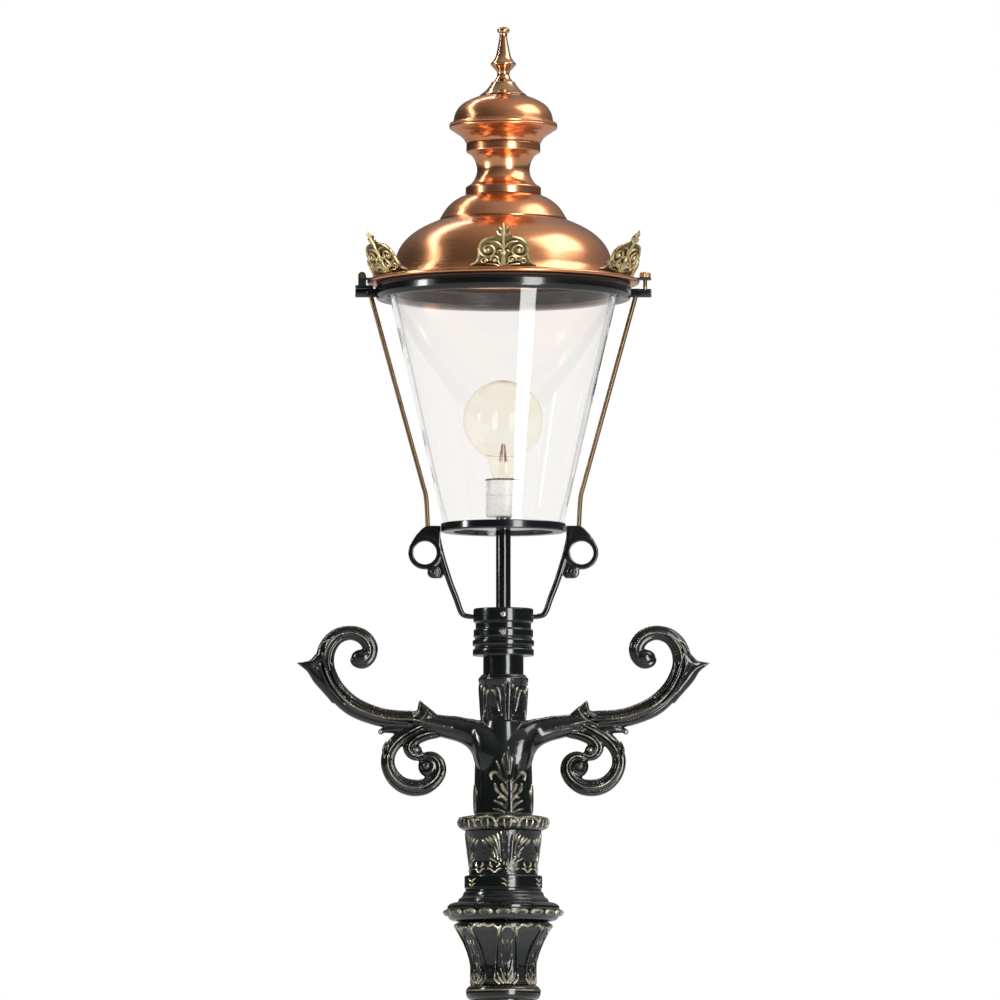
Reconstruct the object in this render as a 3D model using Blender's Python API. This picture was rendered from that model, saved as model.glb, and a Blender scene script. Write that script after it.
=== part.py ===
"""A street lamp post: a round lantern with a copper roof, on a cast post with two scroll arms.

Metres, +Z up. The origin is the middle of the base, on the ground. The front faces -Y.
"""

import math

import bmesh
import bpy
from mathutils import Matrix, Vector

# Driving dimensions
GAP = 0.0003  # between two solids that meet face to face
TUBE_RADIUS = 0.03015  # the 60.3 mm spigot tube that carries the lantern
TUBE_BORE = 0.0265
SLEEVE_BORE = 0.0305  # every casting that is threaded on the tube
TUBE_FOOT_LEVEL = 0.588
TUBE_TOP_LEVEL = 2.6094

# The castings that are stacked on the tube, from the ground up, with their heights
POST_STACK = (
    ("base_plinth", 0.6197),
    ("base_vase", 0.2797),
    ("shaft", 1.1397),
    ("astragal_ring", 0.0210),
    ("tulip_capital", 0.0947),
    ("egg_ring", 0.0297),
    ("band_collar", 0.0387),
    ("leaf_drum", 0.0657),
    ("bead_ring", 0.0237),
    ("cross_arm", 0.1407),
    ("leaf_sleeve", 0.0687),
)

# Levels of the lantern's parts
COLLAR_LEVEL = 2.5535
BOTTOM_RING_LEVEL = 2.7390
BOTTOM_GLASS_LEVEL = 2.7428
GLASS_LEVEL = 2.7475
GLASS_HEIGHT = 0.3525
TOP_RING_LEVEL = 3.0910
BOSS_LEVEL = 3.0980
ROOF_LEVEL = 3.1115
RIM_TOP = 3.1175
UPPER_DOME_LEVEL = 3.2068
NECK_LEVEL = 3.2451
PAN_LEVEL = 3.3233
CAP_LEVEL = 3.3503
FINIAL_LEVEL = 3.3953

# Hinges
ROOF_HINGE = Vector((-0.2115, 0.0, 3.1225))
LATCH_X = 0.2125
DOOR_HINGE = Vector((-0.0455, -0.1310, 0.350))
BOLT_AT = Vector((0.027, -0.1265, 0.350))
KNUCKLE_RADIUS = 0.0060
KNUCKLE_BORE = 0.0031
HINGE_PIN_RADIUS = 0.0028
ROOF_KNUCKLE_HALF = 0.0060
BRACKET_KNUCKLE_START = 0.0065
BRACKET_KNUCKLE_END = 0.0180

ANCHOR_RADIUS = 0.165
ROD_RADIUS = 0.0042
GASKET_THICKNESS = 0.0029
ORNAMENT_COUNT = 6

# Sides of the round solids
POST_SIDES = 16
RING_SIDES = 24
SMALL_SIDES = 12


# ---------------------------------------------------------------- materials
def make_material(name, color, metallic, roughness):
    material = bpy.data.materials.new(name)
    material.use_nodes = True
    shader = material.node_tree.nodes["Principled BSDF"]
    shader.inputs["Base Color"].default_value = (*color, 1.0)
    shader.inputs["Metallic"].default_value = metallic
    shader.inputs["Roughness"].default_value = roughness
    material.diffuse_color = (*color, 1.0)
    return material


def make_materials():
    looks = {
        "painted_casting": ((0.012, 0.020, 0.019), 0.2, 0.30),
        "copper": ((0.74, 0.33, 0.17), 1.0, 0.28),
        "brass": ((0.52, 0.40, 0.18), 1.0, 0.35),
        "steel": ((0.50, 0.50, 0.50), 1.0, 0.35),
        "clear_glass": ((0.92, 0.93, 0.92), 0.0, 0.05),
        "lamp_glass": ((0.95, 0.90, 0.78), 0.0, 0.05),
        "ceramic": ((0.88, 0.87, 0.83), 0.0, 0.30),
        "rubber": ((0.02, 0.02, 0.02), 0.0, 0.75),
        "plastic": ((0.30, 0.31, 0.32), 0.0, 0.45),
    }
    return {name: make_material(name, *look) for name, look in looks.items()}


# ---------------------------------------------------------------- mesh tools
def put_node(name, mesh, material, place=(0.0, 0.0, 0.0), parent=None):
    """An object with this mesh at a world place, under its parent empty if it has one."""
    node = bpy.data.objects.new(name, mesh)
    bpy.context.scene.collection.objects.link(node)
    if material:
        mesh.materials.append(material)
    mesh.shade_smooth()
    mesh.set_sharp_from_angle(angle=math.radians(35))
    node.location = Vector(place)
    if parent:
        node.parent = parent
        node.location = Vector(place) - parent.matrix_world.translation
    return node


def put_axis(name, place, parent=None):
    """An empty on a joint's axis; the pieces that turn about it are its children."""
    axis = bpy.data.objects.new(name, None)
    axis.empty_display_size = 0.02
    bpy.context.scene.collection.objects.link(axis)
    axis.location = Vector(place)
    if parent:
        axis.parent = parent
        axis.location = Vector(place) - parent.matrix_world.translation
    bpy.context.view_layer.update()
    return axis


def finish_mesh(bm, name, turn=None):
    bmesh.ops.recalc_face_normals(bm, faces=bm.faces)
    mesh = bpy.data.meshes.new(name)
    bm.to_mesh(mesh)
    bm.free()
    if turn:
        mesh.transform(turn)
    return mesh


def join_loops(bm, first, second):
    """Faces between two rings of vertices; a ring of one vertex is a point on the axis."""
    count = max(len(first), len(second))
    if count == 1:
        return
    for i in range(count):
        j = (i + 1) % count
        corners = [first[i % len(first)], first[j % len(first)]]
        corners += [second[j % len(second)], second[i % len(second)]]
        bm.faces.new(list(dict.fromkeys(corners)))


def turned_mesh(name, outline, segments=POST_SIDES, turn=None, radius_at=None, phase=0.0):
    """A closed (radius, height) outline turned about Z. radius_at can shape the radius by angle."""
    bm = bmesh.new()
    rings = []
    for radius, height in outline:
        ring = []
        for i in range(segments if radius > 0 else 1):
            angle = phase + 2 * math.pi * i / segments
            reach = radius_at(angle, radius, height) if radius_at else radius
            ring.append(bm.verts.new((reach * math.cos(angle), reach * math.sin(angle), height)))
        rings.append(ring)
    for first, second in zip(rings, rings[1:] + rings[:1]):
        join_loops(bm, first, second)
    return finish_mesh(bm, name, turn)


def octagon_mesh(name, outline):
    """An outline of (distance to a flat, height) turned with eight flat sides, one facing -Y."""
    corner = 1 / math.cos(math.pi / 8)
    outline = [(flat * corner, height) for flat, height in outline]
    return turned_mesh(name, outline, segments=8, phase=math.pi / 8)


def sheet_outline(profile, thickness):
    """The closed outline of sheet metal whose outer side runs along this open profile, foot first."""
    inner = []
    for i, (radius, height) in enumerate(profile):
        before = Vector(profile[max(i - 1, 0)])
        after = Vector(profile[min(i + 1, len(profile) - 1)])
        here = Vector((radius, height))
        normal = Vector((0.0, 0.0))
        for start, end in ((before, here), (here, after)):
            if (end - start).length > 0:
                along = (end - start).normalized()
                normal += Vector((along.y, -along.x))
        half = normal.length / 2 if 0 < i < len(profile) - 1 else 1.0
        inner.append(tuple(here - normal.normalized() * thickness / max(half, 0.6)))
    return list(profile) + inner[::-1]


def block_mesh(name, size, bevel=0.0):
    bm = bmesh.new()
    bmesh.ops.create_cube(bm, size=1.0, matrix=Matrix.Diagonal((*size, 1.0)))
    if bevel:
        bmesh.ops.bevel(bm, geom=list(bm.edges), offset=bevel, segments=1, affect="EDGES")
    return finish_mesh(bm, name)


def put_block(name, low, high, material, parent=None, bevel=0.0):
    """A box between two world corners."""
    low, high = Vector(low), Vector(high)
    return put_node(name, block_mesh(name, high - low, bevel), material, (low + high) / 2, parent)


def slab_mesh(name, outline, half_thickness):
    """An outline in the XZ plane, extruded both ways along Y."""
    bm = bmesh.new()
    loops = []
    for y in (-half_thickness, half_thickness):
        loops.append([bm.verts.new((x, y, z)) for x, z in outline])
    bm.faces.new(loops[0])
    bm.faces.new(loops[1])
    join_loops(bm, *loops)
    return finish_mesh(bm, name)


def smooth_path(stations, steps):
    """A Catmull-Rom curve through stations of equal length tuples."""
    path = []
    last = len(stations) - 1
    for i in range(last):
        around = [stations[min(max(i + k, 0), last)] for k in (-1, 0, 1, 2)]
        for step in range(steps):
            t = step / steps
            weights = (
                (-t + 2 * t**2 - t**3) / 2,
                (2 - 5 * t**2 + 3 * t**3) / 2,
                (t + 4 * t**2 - 3 * t**3) / 2,
                (-(t**2) + t**3) / 2,
            )
            values = zip(*around)
            path.append([sum(w * value for w, value in zip(weights, column)) for column in values])
    path.append(list(stations[last]))
    return path


def swept_mesh(name, stations, steps=2, sides=8, depth=1.0, side=1):
    """A bar along stations of (x, z, half width) in the XZ plane; depth scales its half width along Y."""
    path = smooth_path(stations, steps)
    bm = bmesh.new()
    rings = []
    for i, (x, z, half) in enumerate(path):
        before, after = path[max(i - 1, 0)], path[min(i + 1, len(path) - 1)]
        along = Vector((after[0] - before[0], after[1] - before[1])).normalized()
        ring = []
        for k in range(sides):
            angle = 2 * math.pi * (k + 0.5) / sides
            across = half * math.cos(angle) / math.cos(math.pi / sides)
            out = half * depth * math.sin(angle) / math.cos(math.pi / sides)
            ring.append(bm.verts.new((side * (x - along.y * across), out, z + along.x * across)))
        rings.append(ring)
    for first, second in zip(rings, rings[1:]):
        join_loops(bm, first, second)
    bm.faces.new(rings[0])
    bm.faces.new(rings[-1])
    return finish_mesh(bm, name)


def ball_mesh(name, radii, turn=None):
    bm = bmesh.new()
    bmesh.ops.create_uvsphere(bm, u_segments=10, v_segments=6, radius=1.0)
    bmesh.ops.transform(bm, matrix=Matrix.Diagonal((*radii, 1.0)), verts=bm.verts)
    return finish_mesh(bm, name, turn)


def add_boolean(node, helper, operation):
    """Joins a helper solid to a node or cuts it away; the helper itself isn't a part."""
    modifier = node.modifiers.new(f"{operation.lower()}_{helper.name}", "BOOLEAN")
    modifier.operation = operation
    modifier.object = helper
    helper.hide_render = True
    helper.display_type = "WIRE"
    if node.parent and not helper.parent:
        place = helper.location.copy()
        helper.parent = node.parent
        helper.location = place - node.parent.matrix_world.translation


def join_shape(node, mesh, place=(0.0, 0.0, 0.0)):
    add_boolean(node, put_node(f"{node.name}_joined_{mesh.name}", mesh, None, place), "UNION")


def cut_shape(node, mesh, place):
    add_boolean(node, put_node(f"{node.name}_cut_{mesh.name}", mesh, None, place), "DIFFERENCE")


def rod_mesh(name, radius, start, end, segments=12, turn=None):
    return turned_mesh(name, [(0, start), (radius, start), (radius, end), (0, end)], segments, turn)


def tube_outline(bore, radius, start, end):
    return [(bore, start), (radius, start), (radius, end), (bore, end)]


TO_X = Matrix.Rotation(math.radians(90), 4, "Y")
TO_Y = Matrix.Rotation(math.radians(-90), 4, "X")


# ---------------------------------------------------------------- base
def build_plinth(material, level):
    outline = [
        (0.115, 0.000), (0.190, 0.000), (0.190, 0.016), (0.187, 0.020), (0.142, 0.022),
        (0.142, 0.060), (0.138, 0.066), (0.132, 0.090), (0.125, 0.100), (0.125, 0.560),
        (0.132, 0.566), (0.140, 0.580), (0.143, 0.584), (0.143, 0.600), (0.138, 0.606),
        (0.125, 0.6197), (0.0335, 0.6197), (0.0335, 0.600), (0.115, 0.600),
    ]
    plinth = put_node("base_plinth", octagon_mesh("base_plinth", outline), material, (0, 0, level))
    door_opening = block_mesh("door_opening", (0.079, 0.040, 0.301))
    cut_shape(plinth, door_opening, (0, -0.120, DOOR_HINGE.z))
    for turn in range(4):
        angle = math.radians(45 + 90 * turn)
        place = (ANCHOR_RADIUS * math.cos(angle), ANCHOR_RADIUS * math.sin(angle), 0)
        cut_shape(plinth, rod_mesh(f"anchor_hole_{turn}", 0.009, -0.01, 0.04, SMALL_SIDES), place)


def build_door(metals):
    """The hand-hole door with its pintles, which stand on the post, and its captive bolt."""
    axis = put_axis("door_hinge_axis", DOOR_HINGE)
    casting = metals["painted_casting"]
    door = put_block("base_door", (-0.039, -0.1265, 0.200), (0.039, -0.1175, 0.500), casting, axis)
    for level in (0.245, 0.437):
        middle = level + 0.009
        knuckle = rod_mesh("knuckle", 0.0055, 0.0, 0.018)
        join_shape(door, knuckle, (DOOR_HINGE.x, DOOR_HINGE.y, level))
        strap = block_mesh("strap", (0.0160, 0.0052, 0.0140))
        join_shape(door, strap, (DOOR_HINGE.x + 0.0105, DOOR_HINGE.y + 0.0026, middle))
        bore = rod_mesh("bore", 0.0030, -0.001, 0.019)
        cut_shape(door, bore, (DOOR_HINGE.x, DOOR_HINGE.y, level))
    cut_shape(door, rod_mesh("bolt_hole", 0.0065, -0.01, 0.02, SMALL_SIDES, TO_Y), BOLT_AT)

    for name, level in (("door_pintle_lower", 0.232), ("door_pintle_upper", 0.424)):
        outline = [
            (0, 0), (0.0055, 0), (0.0055, 0.0126), (0.0026, 0.0126), (0.0026, 0.030), (0, 0.030),
        ]
        mesh = turned_mesh(name, outline, SMALL_SIDES)
        pintle = put_node(name, mesh, metals["steel"], (*DOOR_HINGE.xy, level))
        web = block_mesh("web", (0.0080, 0.0056, 0.0110))
        join_shape(pintle, web, (DOOR_HINGE.x, DOOR_HINGE.y + 0.0029, level + 0.0063))

    bolt_axis = put_axis("door_bolt_axis", BOLT_AT, axis)
    outline = [
        (0, -0.0030), (0.003, -0.0030), (0.003, -0.0060), (0.008, -0.0060), (0.008, -GAP),
        (0.006, -GAP), (0.006, 0.0093), (0.0035, 0.0093), (0.0035, 0.0160), (0, 0.0160),
    ]
    bolt = turned_mesh("door_bolt", outline, SMALL_SIDES, TO_Y)
    put_node("door_bolt", bolt, metals["brass"], BOLT_AT, bolt_axis)
    keeper = put_block("door_keeper", (0.018, -0.1147, 0.335), (0.047, -0.1110, 0.365), metals["steel"])
    cut_shape(keeper, rod_mesh("tip_hole", 0.0062, 0.0, 0.03, SMALL_SIDES, TO_Y), BOLT_AT)


def build_wiring(metals):
    """The rail, box, lid and gland behind the door, where the supply cable ends."""
    steel, plastic, ceramic = metals["steel"], metals["plastic"], metals["ceramic"]
    put_block("mounting_rail", (-0.015, 0.1097, 0.200), (0.015, 0.1147, 0.500), steel)
    box = put_block("junction_box", (-0.035, 0.060, 0.280), (0.035, 0.1094, 0.420), plastic)
    cut_shape(box, block_mesh("inside", (0.065, 0.060, 0.135)), (0, 0.0769, 0.350))
    cut_shape(box, rod_mesh("cable_hole", 0.0065, -0.02, 0.02, SMALL_SIDES), (0, 0.085, 0.280))
    put_block("junction_lid", (-0.035, 0.0560, 0.280), (0.035, 0.0597, 0.420), plastic)
    block = put_block("terminal_block", (-0.024, 0.090, 0.340), (0.024, 0.1066, 0.362), ceramic)
    for step in range(4):
        place = (-0.018 + 0.012 * step, 0.090, 0.351)
        cut_shape(block, rod_mesh(f"screw_well_{step}", 0.0035, -0.005, 0.008, 12, TO_Y), place)
    gland = [
        (0.004, 0), (0.009, 0), (0.011, 0.004), (0.011, 0.014),
        (0.006, 0.0145), (0.006, 0.026), (0.004, 0.026),
    ]
    gland_mesh = turned_mesh("cable_gland", gland, SMALL_SIDES)
    put_node("cable_gland", gland_mesh, plastic, (0, 0.085, 0.2652))


# ---------------------------------------------------------------- post
def build_post(material, steel, level):
    """The tube and the turned castings on it. Each outline starts at the bore and runs up the outside."""
    tube_height = TUBE_TOP_LEVEL - TUBE_FOOT_LEVEL
    tube = [(TUBE_BORE, 0), (0.070, 0), (0.070, 0.0112), (TUBE_RADIUS, 0.0112)]
    tube += [(TUBE_RADIUS, tube_height), (TUBE_BORE, tube_height)]
    put_node("core_tube", turned_mesh("core_tube", tube), steel, (0, 0, TUBE_FOOT_LEVEL))

    bore = SLEEVE_BORE
    outlines = {
        "base_vase": [
            (bore, 0), (0.119, 0), (0.122, 0.008), (0.117, 0.021), (0.101, 0.028),
            (0.106, 0.055), (0.108, 0.080), (0.104, 0.110), (0.092, 0.145),
            (0.078, 0.180), (0.068, 0.215), (0.064, 0.240), (0.074, 0.248),
            (0.076, 0.260), (0.060, 0.2797), (bore, 0.2797),
            (bore, 0.255), (0.052, 0.235), (0.068, 0.170), (0.094, 0.100),
            (0.090, 0.012), (bore, 0.012),
        ],
        "astragal_ring": [
            (bore, 0), (0.050, 0), (0.0545, 0.0035), (0.0560, 0.0105), (0.0545, 0.0175),
            (0.050, 0.021), (bore, 0.021),
        ],
        "tulip_capital": [
            (bore, 0), (0.049, 0), (0.049, 0.028), (0.051, 0.038), (0.0545, 0.050), (0.0605, 0.064),
            (0.068, 0.076), (0.0725, 0.084), (0.0728, 0.090), (0.070, 0.0947), (0.060, 0.0947),
            (0.058, 0.080), (0.044, 0.054), (0.039, 0.035), (bore, 0.020),
        ],
        "egg_ring": [
            (bore, 0), (0.070, 0), (0.084, 0.004), (0.089, 0.015), (0.084, 0.0255),
            (0.070, 0.0297), (bore, 0.0297),
        ],
        "band_collar": [
            (bore, 0), (0.068, 0), (0.061, 0.010), (0.058, 0.018), (0.058, 0.0387), (bore, 0.0387),
        ],
        "leaf_drum": [
            (bore, 0), (0.051, 0), (0.0520, 0.020), (0.0545, 0.040), (0.0585, 0.0657), (bore, 0.0657),
        ],
        "bead_ring": [
            (bore, 0), (0.058, 0), (0.068, 0.006), (0.070, 0.014), (0.064, 0.021), (0.050, 0.0237),
            (bore, 0.0237),
        ],
        "leaf_sleeve": [
            (bore, 0), (0.0325, 0), (0.0330, 0.020), (0.0365, 0.060), (0.0368, 0.0645),
            (0.0330, 0.0687), (bore, 0.0687),
        ],
    }
    for name, outline in outlines.items():
        put_node(name, turned_mesh(name, outline), material, (0, 0, level[name]))


def build_shaft(material, level):
    """The tapering shaft with twelve flutes between two plain ends."""
    flutes, flute_depth = 12, 0.0035
    flute_start, flute_end = 0.060, 1.080

    def fluted(angle, radius, height):
        inside = radius < 0.045
        if inside or not flute_start < height < flute_end:
            return radius
        return radius - flute_depth * abs(math.sin(angle * flutes / 2))

    outline = [
        (SLEEVE_BORE, 0), (0.056, 0), (0.056, 0.058), (0.0556, 0.066), (0.0505, 0.560),
        (0.0472, 1.074), (0.0475, 1.082), (0.0475, 1.1397), (SLEEVE_BORE, 1.1397),
        (SLEEVE_BORE, 1.120), (0.038, 1.090), (0.043, 0.060), (SLEEVE_BORE, 0.030),
    ]
    mesh = turned_mesh("shaft", outline, 2 * flutes, radius_at=fluted)
    put_node("shaft", mesh, material, (0, 0, level))


def build_cross_arm(material, level):
    """The hub with its two scroll arms, cast in one piece. Stations are (x, z above ground, half width)."""
    hub_outline = [
        (SLEEVE_BORE, 0), (0.044, 0), (0.044, 0.060), (0.043, 0.090), (0.038, 0.118),
        (0.033, 0.1407), (SLEEVE_BORE, 0.1407),
    ]
    hub = put_node("cross_arm", turned_mesh("hub", hub_outline), material, (0, 0, level))
    main_arm = [
        (0.022, 2.395, 0.020), (0.038, 2.425, 0.0205), (0.055, 2.440, 0.0195), (0.077, 2.4455, 0.0180),
        (0.101, 2.450, 0.0163), (0.133, 2.4575, 0.0138), (0.163, 2.459, 0.0139), (0.190, 2.4635, 0.0143),
        (0.226, 2.479, 0.0150), (0.252, 2.505, 0.0144), (0.2655, 2.536, 0.0138), (0.2640, 2.562, 0.0138),
        (0.250, 2.5815, 0.0122), (0.229, 2.588, 0.0105), (0.210, 2.5808, 0.0108), (0.2018, 2.563, 0.0116),
    ]
    c_scroll = [
        (0.118, 2.4500, 0.0090), (0.133, 2.4430, 0.0105), (0.150, 2.4330, 0.0104), (0.164, 2.4200, 0.0102),
        (0.1715, 2.4050, 0.0099), (0.172, 2.3890, 0.0098), (0.1655, 2.3740, 0.0102),
        (0.153, 2.3620, 0.0108),
        (0.137, 2.3555, 0.0114), (0.119, 2.3570, 0.0112), (0.104, 2.3667, 0.0106), (0.097, 2.3810, 0.0100),
        (0.1005, 2.3940, 0.0085),
    ]
    inner_curl = [
        (0.092, 2.4470, 0.0055), (0.110, 2.4370, 0.0075), (0.127, 2.4300, 0.0080), (0.1375, 2.4200, 0.0070),
    ]
    spur = [
        (0.262, 2.5050, 0.0080), (0.276, 2.5180, 0.0065), (0.290, 2.5330, 0.0045), (0.309, 2.5430, 0.0010),
    ]
    bud = [
        (0.118, 2.4620, 0.0100), (0.121, 2.4740, 0.0085), (0.125, 2.4830, 0.0040), (0.127, 2.4880, 0.0012),
    ]
    tail_leaf = [
        (0.150, 2.4460, 0.0060), (0.166, 2.4440, 0.0060), (0.178, 2.4425, 0.0035), (0.185, 2.4400, 0.0010),
    ]
    # Each bar with its depth as a share of its width
    sweeps = {
        "main_arm": (main_arm, 0.85), "c_scroll": (c_scroll, 1.05), "inner_curl": (inner_curl, 1.0),
        "spur": (spur, 1.0), "bud": (bud, 1.2), "tail_leaf": (tail_leaf, 1.1),
    }
    eyes = {
        "arm_eye": ((0.209, 2.5530), (0.0190, 0.0145, 0.0160)),
        "scroll_eye": ((0.1130, 2.3905), (0.0115, 0.0130, 0.0115)),
        "curl_eye": ((0.1310, 2.4110), (0.0088, 0.0100, 0.0088)),
    }
    face_front = Matrix.Rotation(math.radians(90), 4, "X")
    for side in (1, -1):
        for name, (stations, depth) in sweeps.items():
            join_shape(hub, swept_mesh(name, stations, 1, 6, depth, side))
        for name, ((x, z), radii) in eyes.items():
            join_shape(hub, ball_mesh(name, radii, face_front), (side * x, 0, z))
    bore_cutter = rod_mesh("tube_bore", SLEEVE_BORE, -0.01, 0.16, POST_SIDES)
    cut_shape(hub, bore_cutter, (0, 0, level))


# ---------------------------------------------------------------- lantern frame
def build_collar(metals):
    """The ribbed collar that slips over the tube, with three set screws and the lamp pipe on its lid."""
    bore, shoulder, height, pipe_hole = 0.0306, 0.0562, 0.0705, 0.0114
    outline = [
        (bore, 0), (0.0457, 0), (0.0457, 0.0100), (0.0425, 0.0125), (0.0460, 0.0150), (0.0460, 0.0230),
        (0.0425, 0.0255), (0.0445, 0.0280), (0.0445, 0.0390), (0.0415, 0.0405), (0.0415, 0.0490),
        (0.0449, 0.0500), (0.0449, height), (pipe_hole, height), (pipe_hole, shoulder), (bore, shoulder),
    ]
    casting, steel, brass = metals["painted_casting"], metals["steel"], metals["brass"]
    collar = put_node("lantern_collar", turned_mesh("collar", outline), casting, (0, 0, COLLAR_LEVEL))
    screw_level = 0.033
    socket_radius, socket_depth, screw_start, screw_end = 0.0022, 0.003, 0.0308, 0.0468
    screw_outline = [
        (0, screw_start), (0.0042, screw_start), (0.0042, screw_end), (socket_radius, screw_end),
        (socket_radius, screw_end - socket_depth), (0, screw_end - socket_depth),
    ]
    for number, azimuth in enumerate((-90, 30, 150), start=1):
        swing = Matrix.Rotation(math.radians(azimuth), 4, "Z") @ TO_X
        place = (0, 0, COLLAR_LEVEL + screw_level)
        cut_shape(collar, rod_mesh(f"screw_hole_{number}", 0.0047, 0.028, 0.050, 12, swing), place)
        screw = turned_mesh(f"collar_screw_{number}", screw_outline, 12, swing)
        put_node(f"collar_screw_{number}", screw, brass, place)

    nut_place, nut_radius, nut_height = (0, 0, 2.600), 0.0185, 0.0092
    nut = put_node("pipe_nut", rod_mesh("nut", nut_radius, 0, nut_height, 6), steel, nut_place)
    cut_shape(nut, rod_mesh("nut_bore", pipe_hole, -0.01, 0.02, POST_SIDES), nut_place)
    pipe_bore, pipe_radius, pipe_length = 0.0085, 0.0110, 0.177
    pipe = tube_outline(pipe_bore, pipe_radius, 0, pipe_length)
    put_node("lamp_pipe", turned_mesh("lamp_pipe", pipe), casting, (0, 0, 2.598))


def build_cradle(material):
    """The two arms from the collar to the bottom ring, each with a ring eye. Outlines are (x, z)."""
    bar = [
        (0.1010, 2.7420, 0.0042), (0.0935, 2.7080, 0.0042), (0.0862, 2.6830, 0.0042),
        (0.0788, 2.6607, 0.0040), (0.0705, 2.6396, 0.0040), (0.0635, 2.6200, 0.0040),
        (0.0560, 2.6125, 0.0036), (0.0462, 2.6108, 0.0034),
    ]
    shoulder = [
        (0.0938, 2.7395), (0.0938, 2.7485), (0.1165, 2.7485), (0.1385, 2.7215),
        (0.1300, 2.7080), (0.0980, 2.7080),
    ]
    web = [(0.0900, 2.7000), (0.0835, 2.6690), (0.1045, 2.6695), (0.1135, 2.6850)]
    eye_x, eye_z, eye_hole, eye_rim = 0.1172, 2.7080, 0.0185, 0.0250
    knob_x, knob_z, knob_radius = 0.1045, 2.6790, 0.0093
    for side, name in ((-1, "cradle_arm_left"), (1, "cradle_arm_right")):
        rim = rod_mesh("rim", eye_rim, -0.0055, 0.0055, POST_SIDES, TO_Y)
        arm = put_node(name, rim, material, (side * eye_x, 0, eye_z))
        join_shape(arm, slab_mesh("shoulder", [(side * x, z) for x, z in shoulder], 0.0050))
        join_shape(arm, slab_mesh("web", [(side * x, z) for x, z in web], 0.0046))
        join_shape(arm, swept_mesh("bar", bar, 1, 8, 1.0, side))
        knob = rod_mesh("knob", knob_radius, -0.0065, 0.0065, 12, TO_Y)
        join_shape(arm, knob, (side * knob_x, 0, knob_z))
        hole = rod_mesh("eye_hole", eye_hole, -0.02, 0.02, POST_SIDES, TO_Y)
        cut_shape(arm, hole, (side * eye_x, 0, eye_z))


def build_rings_and_glass(metals):
    casting, glass, rubber = metals["painted_casting"], metals["clear_glass"], metals["rubber"]
    bottom_ring = [
        (0.074, 0), (0.0935, 0), (0.0935, 0.0125), (0.0912, 0.0125), (0.0912, 0.0080),
        (0.0790, 0.0080), (0.0790, 0.0035), (0.074, 0.0035),
    ]
    pane = tube_outline(0.0114, 0.0786, 0, 0.003)
    foot_radius, head_radius, wall = 0.0895, 0.1719, 0.0041
    cone = [
        (foot_radius - wall, 0), (foot_radius, 0),
        (head_radius, GLASS_HEIGHT), (head_radius - wall, GLASS_HEIGHT),
    ]
    seal = tube_outline(0.1650, 0.1738, 0, 0.0072)
    gasket = tube_outline(0.1770, 0.1900, 0, GASKET_THICKNESS)
    rings = (
        ("bottom_ring", bottom_ring, casting, BOTTOM_RING_LEVEL),
        ("bottom_glass", pane, glass, BOTTOM_GLASS_LEVEL),
        ("glass_cone", cone, glass, GLASS_LEVEL),
        ("glass_seal", seal, rubber, GLASS_LEVEL + GLASS_HEIGHT + GAP),
        ("roof_gasket", gasket, rubber, ROOF_LEVEL - GAP - GASKET_THICKNESS),
    )
    for name, outline, material, level in rings:
        put_node(name, turned_mesh(name, outline, RING_SIDES), material, (0, 0, level))

    ring = tube_outline(0.1745, 0.1920, 0, 0.0170)
    ring_mesh = turned_mesh("top_ring", ring, RING_SIDES)
    top_ring = put_node("top_ring", ring_mesh, casting, (0, 0, TOP_RING_LEVEL))
    boss_radius, boss_start, boss_end = 0.0065, 0.184, 0.222
    for side in (-1, 1):
        outward = Matrix.Rotation(math.radians(90 * side), 4, "Y")
        boss = rod_mesh("boss", boss_radius, boss_start, boss_end, SMALL_SIDES, outward)
        join_shape(top_ring, boss, (0, 0, BOSS_LEVEL))
    latch_hole = rod_mesh("latch_hole", 0.0042, -0.002, 0.02)
    cut_shape(top_ring, latch_hole, (LATCH_X, 0, BOSS_LEVEL))

    rod = [
        (0.1130, 2.7494, ROD_RADIUS), (0.1155, 2.7900, ROD_RADIUS),
        (0.1215, 2.8145, ROD_RADIUS), (0.1972, 3.0893, ROD_RADIUS),
    ]
    for side, name in ((-1, "side_rod_left"), (1, "side_rod_right")):
        put_node(name, swept_mesh(name, rod, 2, 8, 1.0, side), metals["brass"])


def bulb_arc(radius, centre):
    """The side of the lamp's ball, from where it leaves the neck up to its crown on the axis."""
    first_angle, steps = math.radians(-62), 7
    arc = []
    for i in range(steps):
        angle = first_angle + (math.radians(90) - first_angle) * i / steps
        arc.append((radius * math.cos(angle), centre + radius * math.sin(angle)))
    return arc + [(0, centre + radius)]


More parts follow.
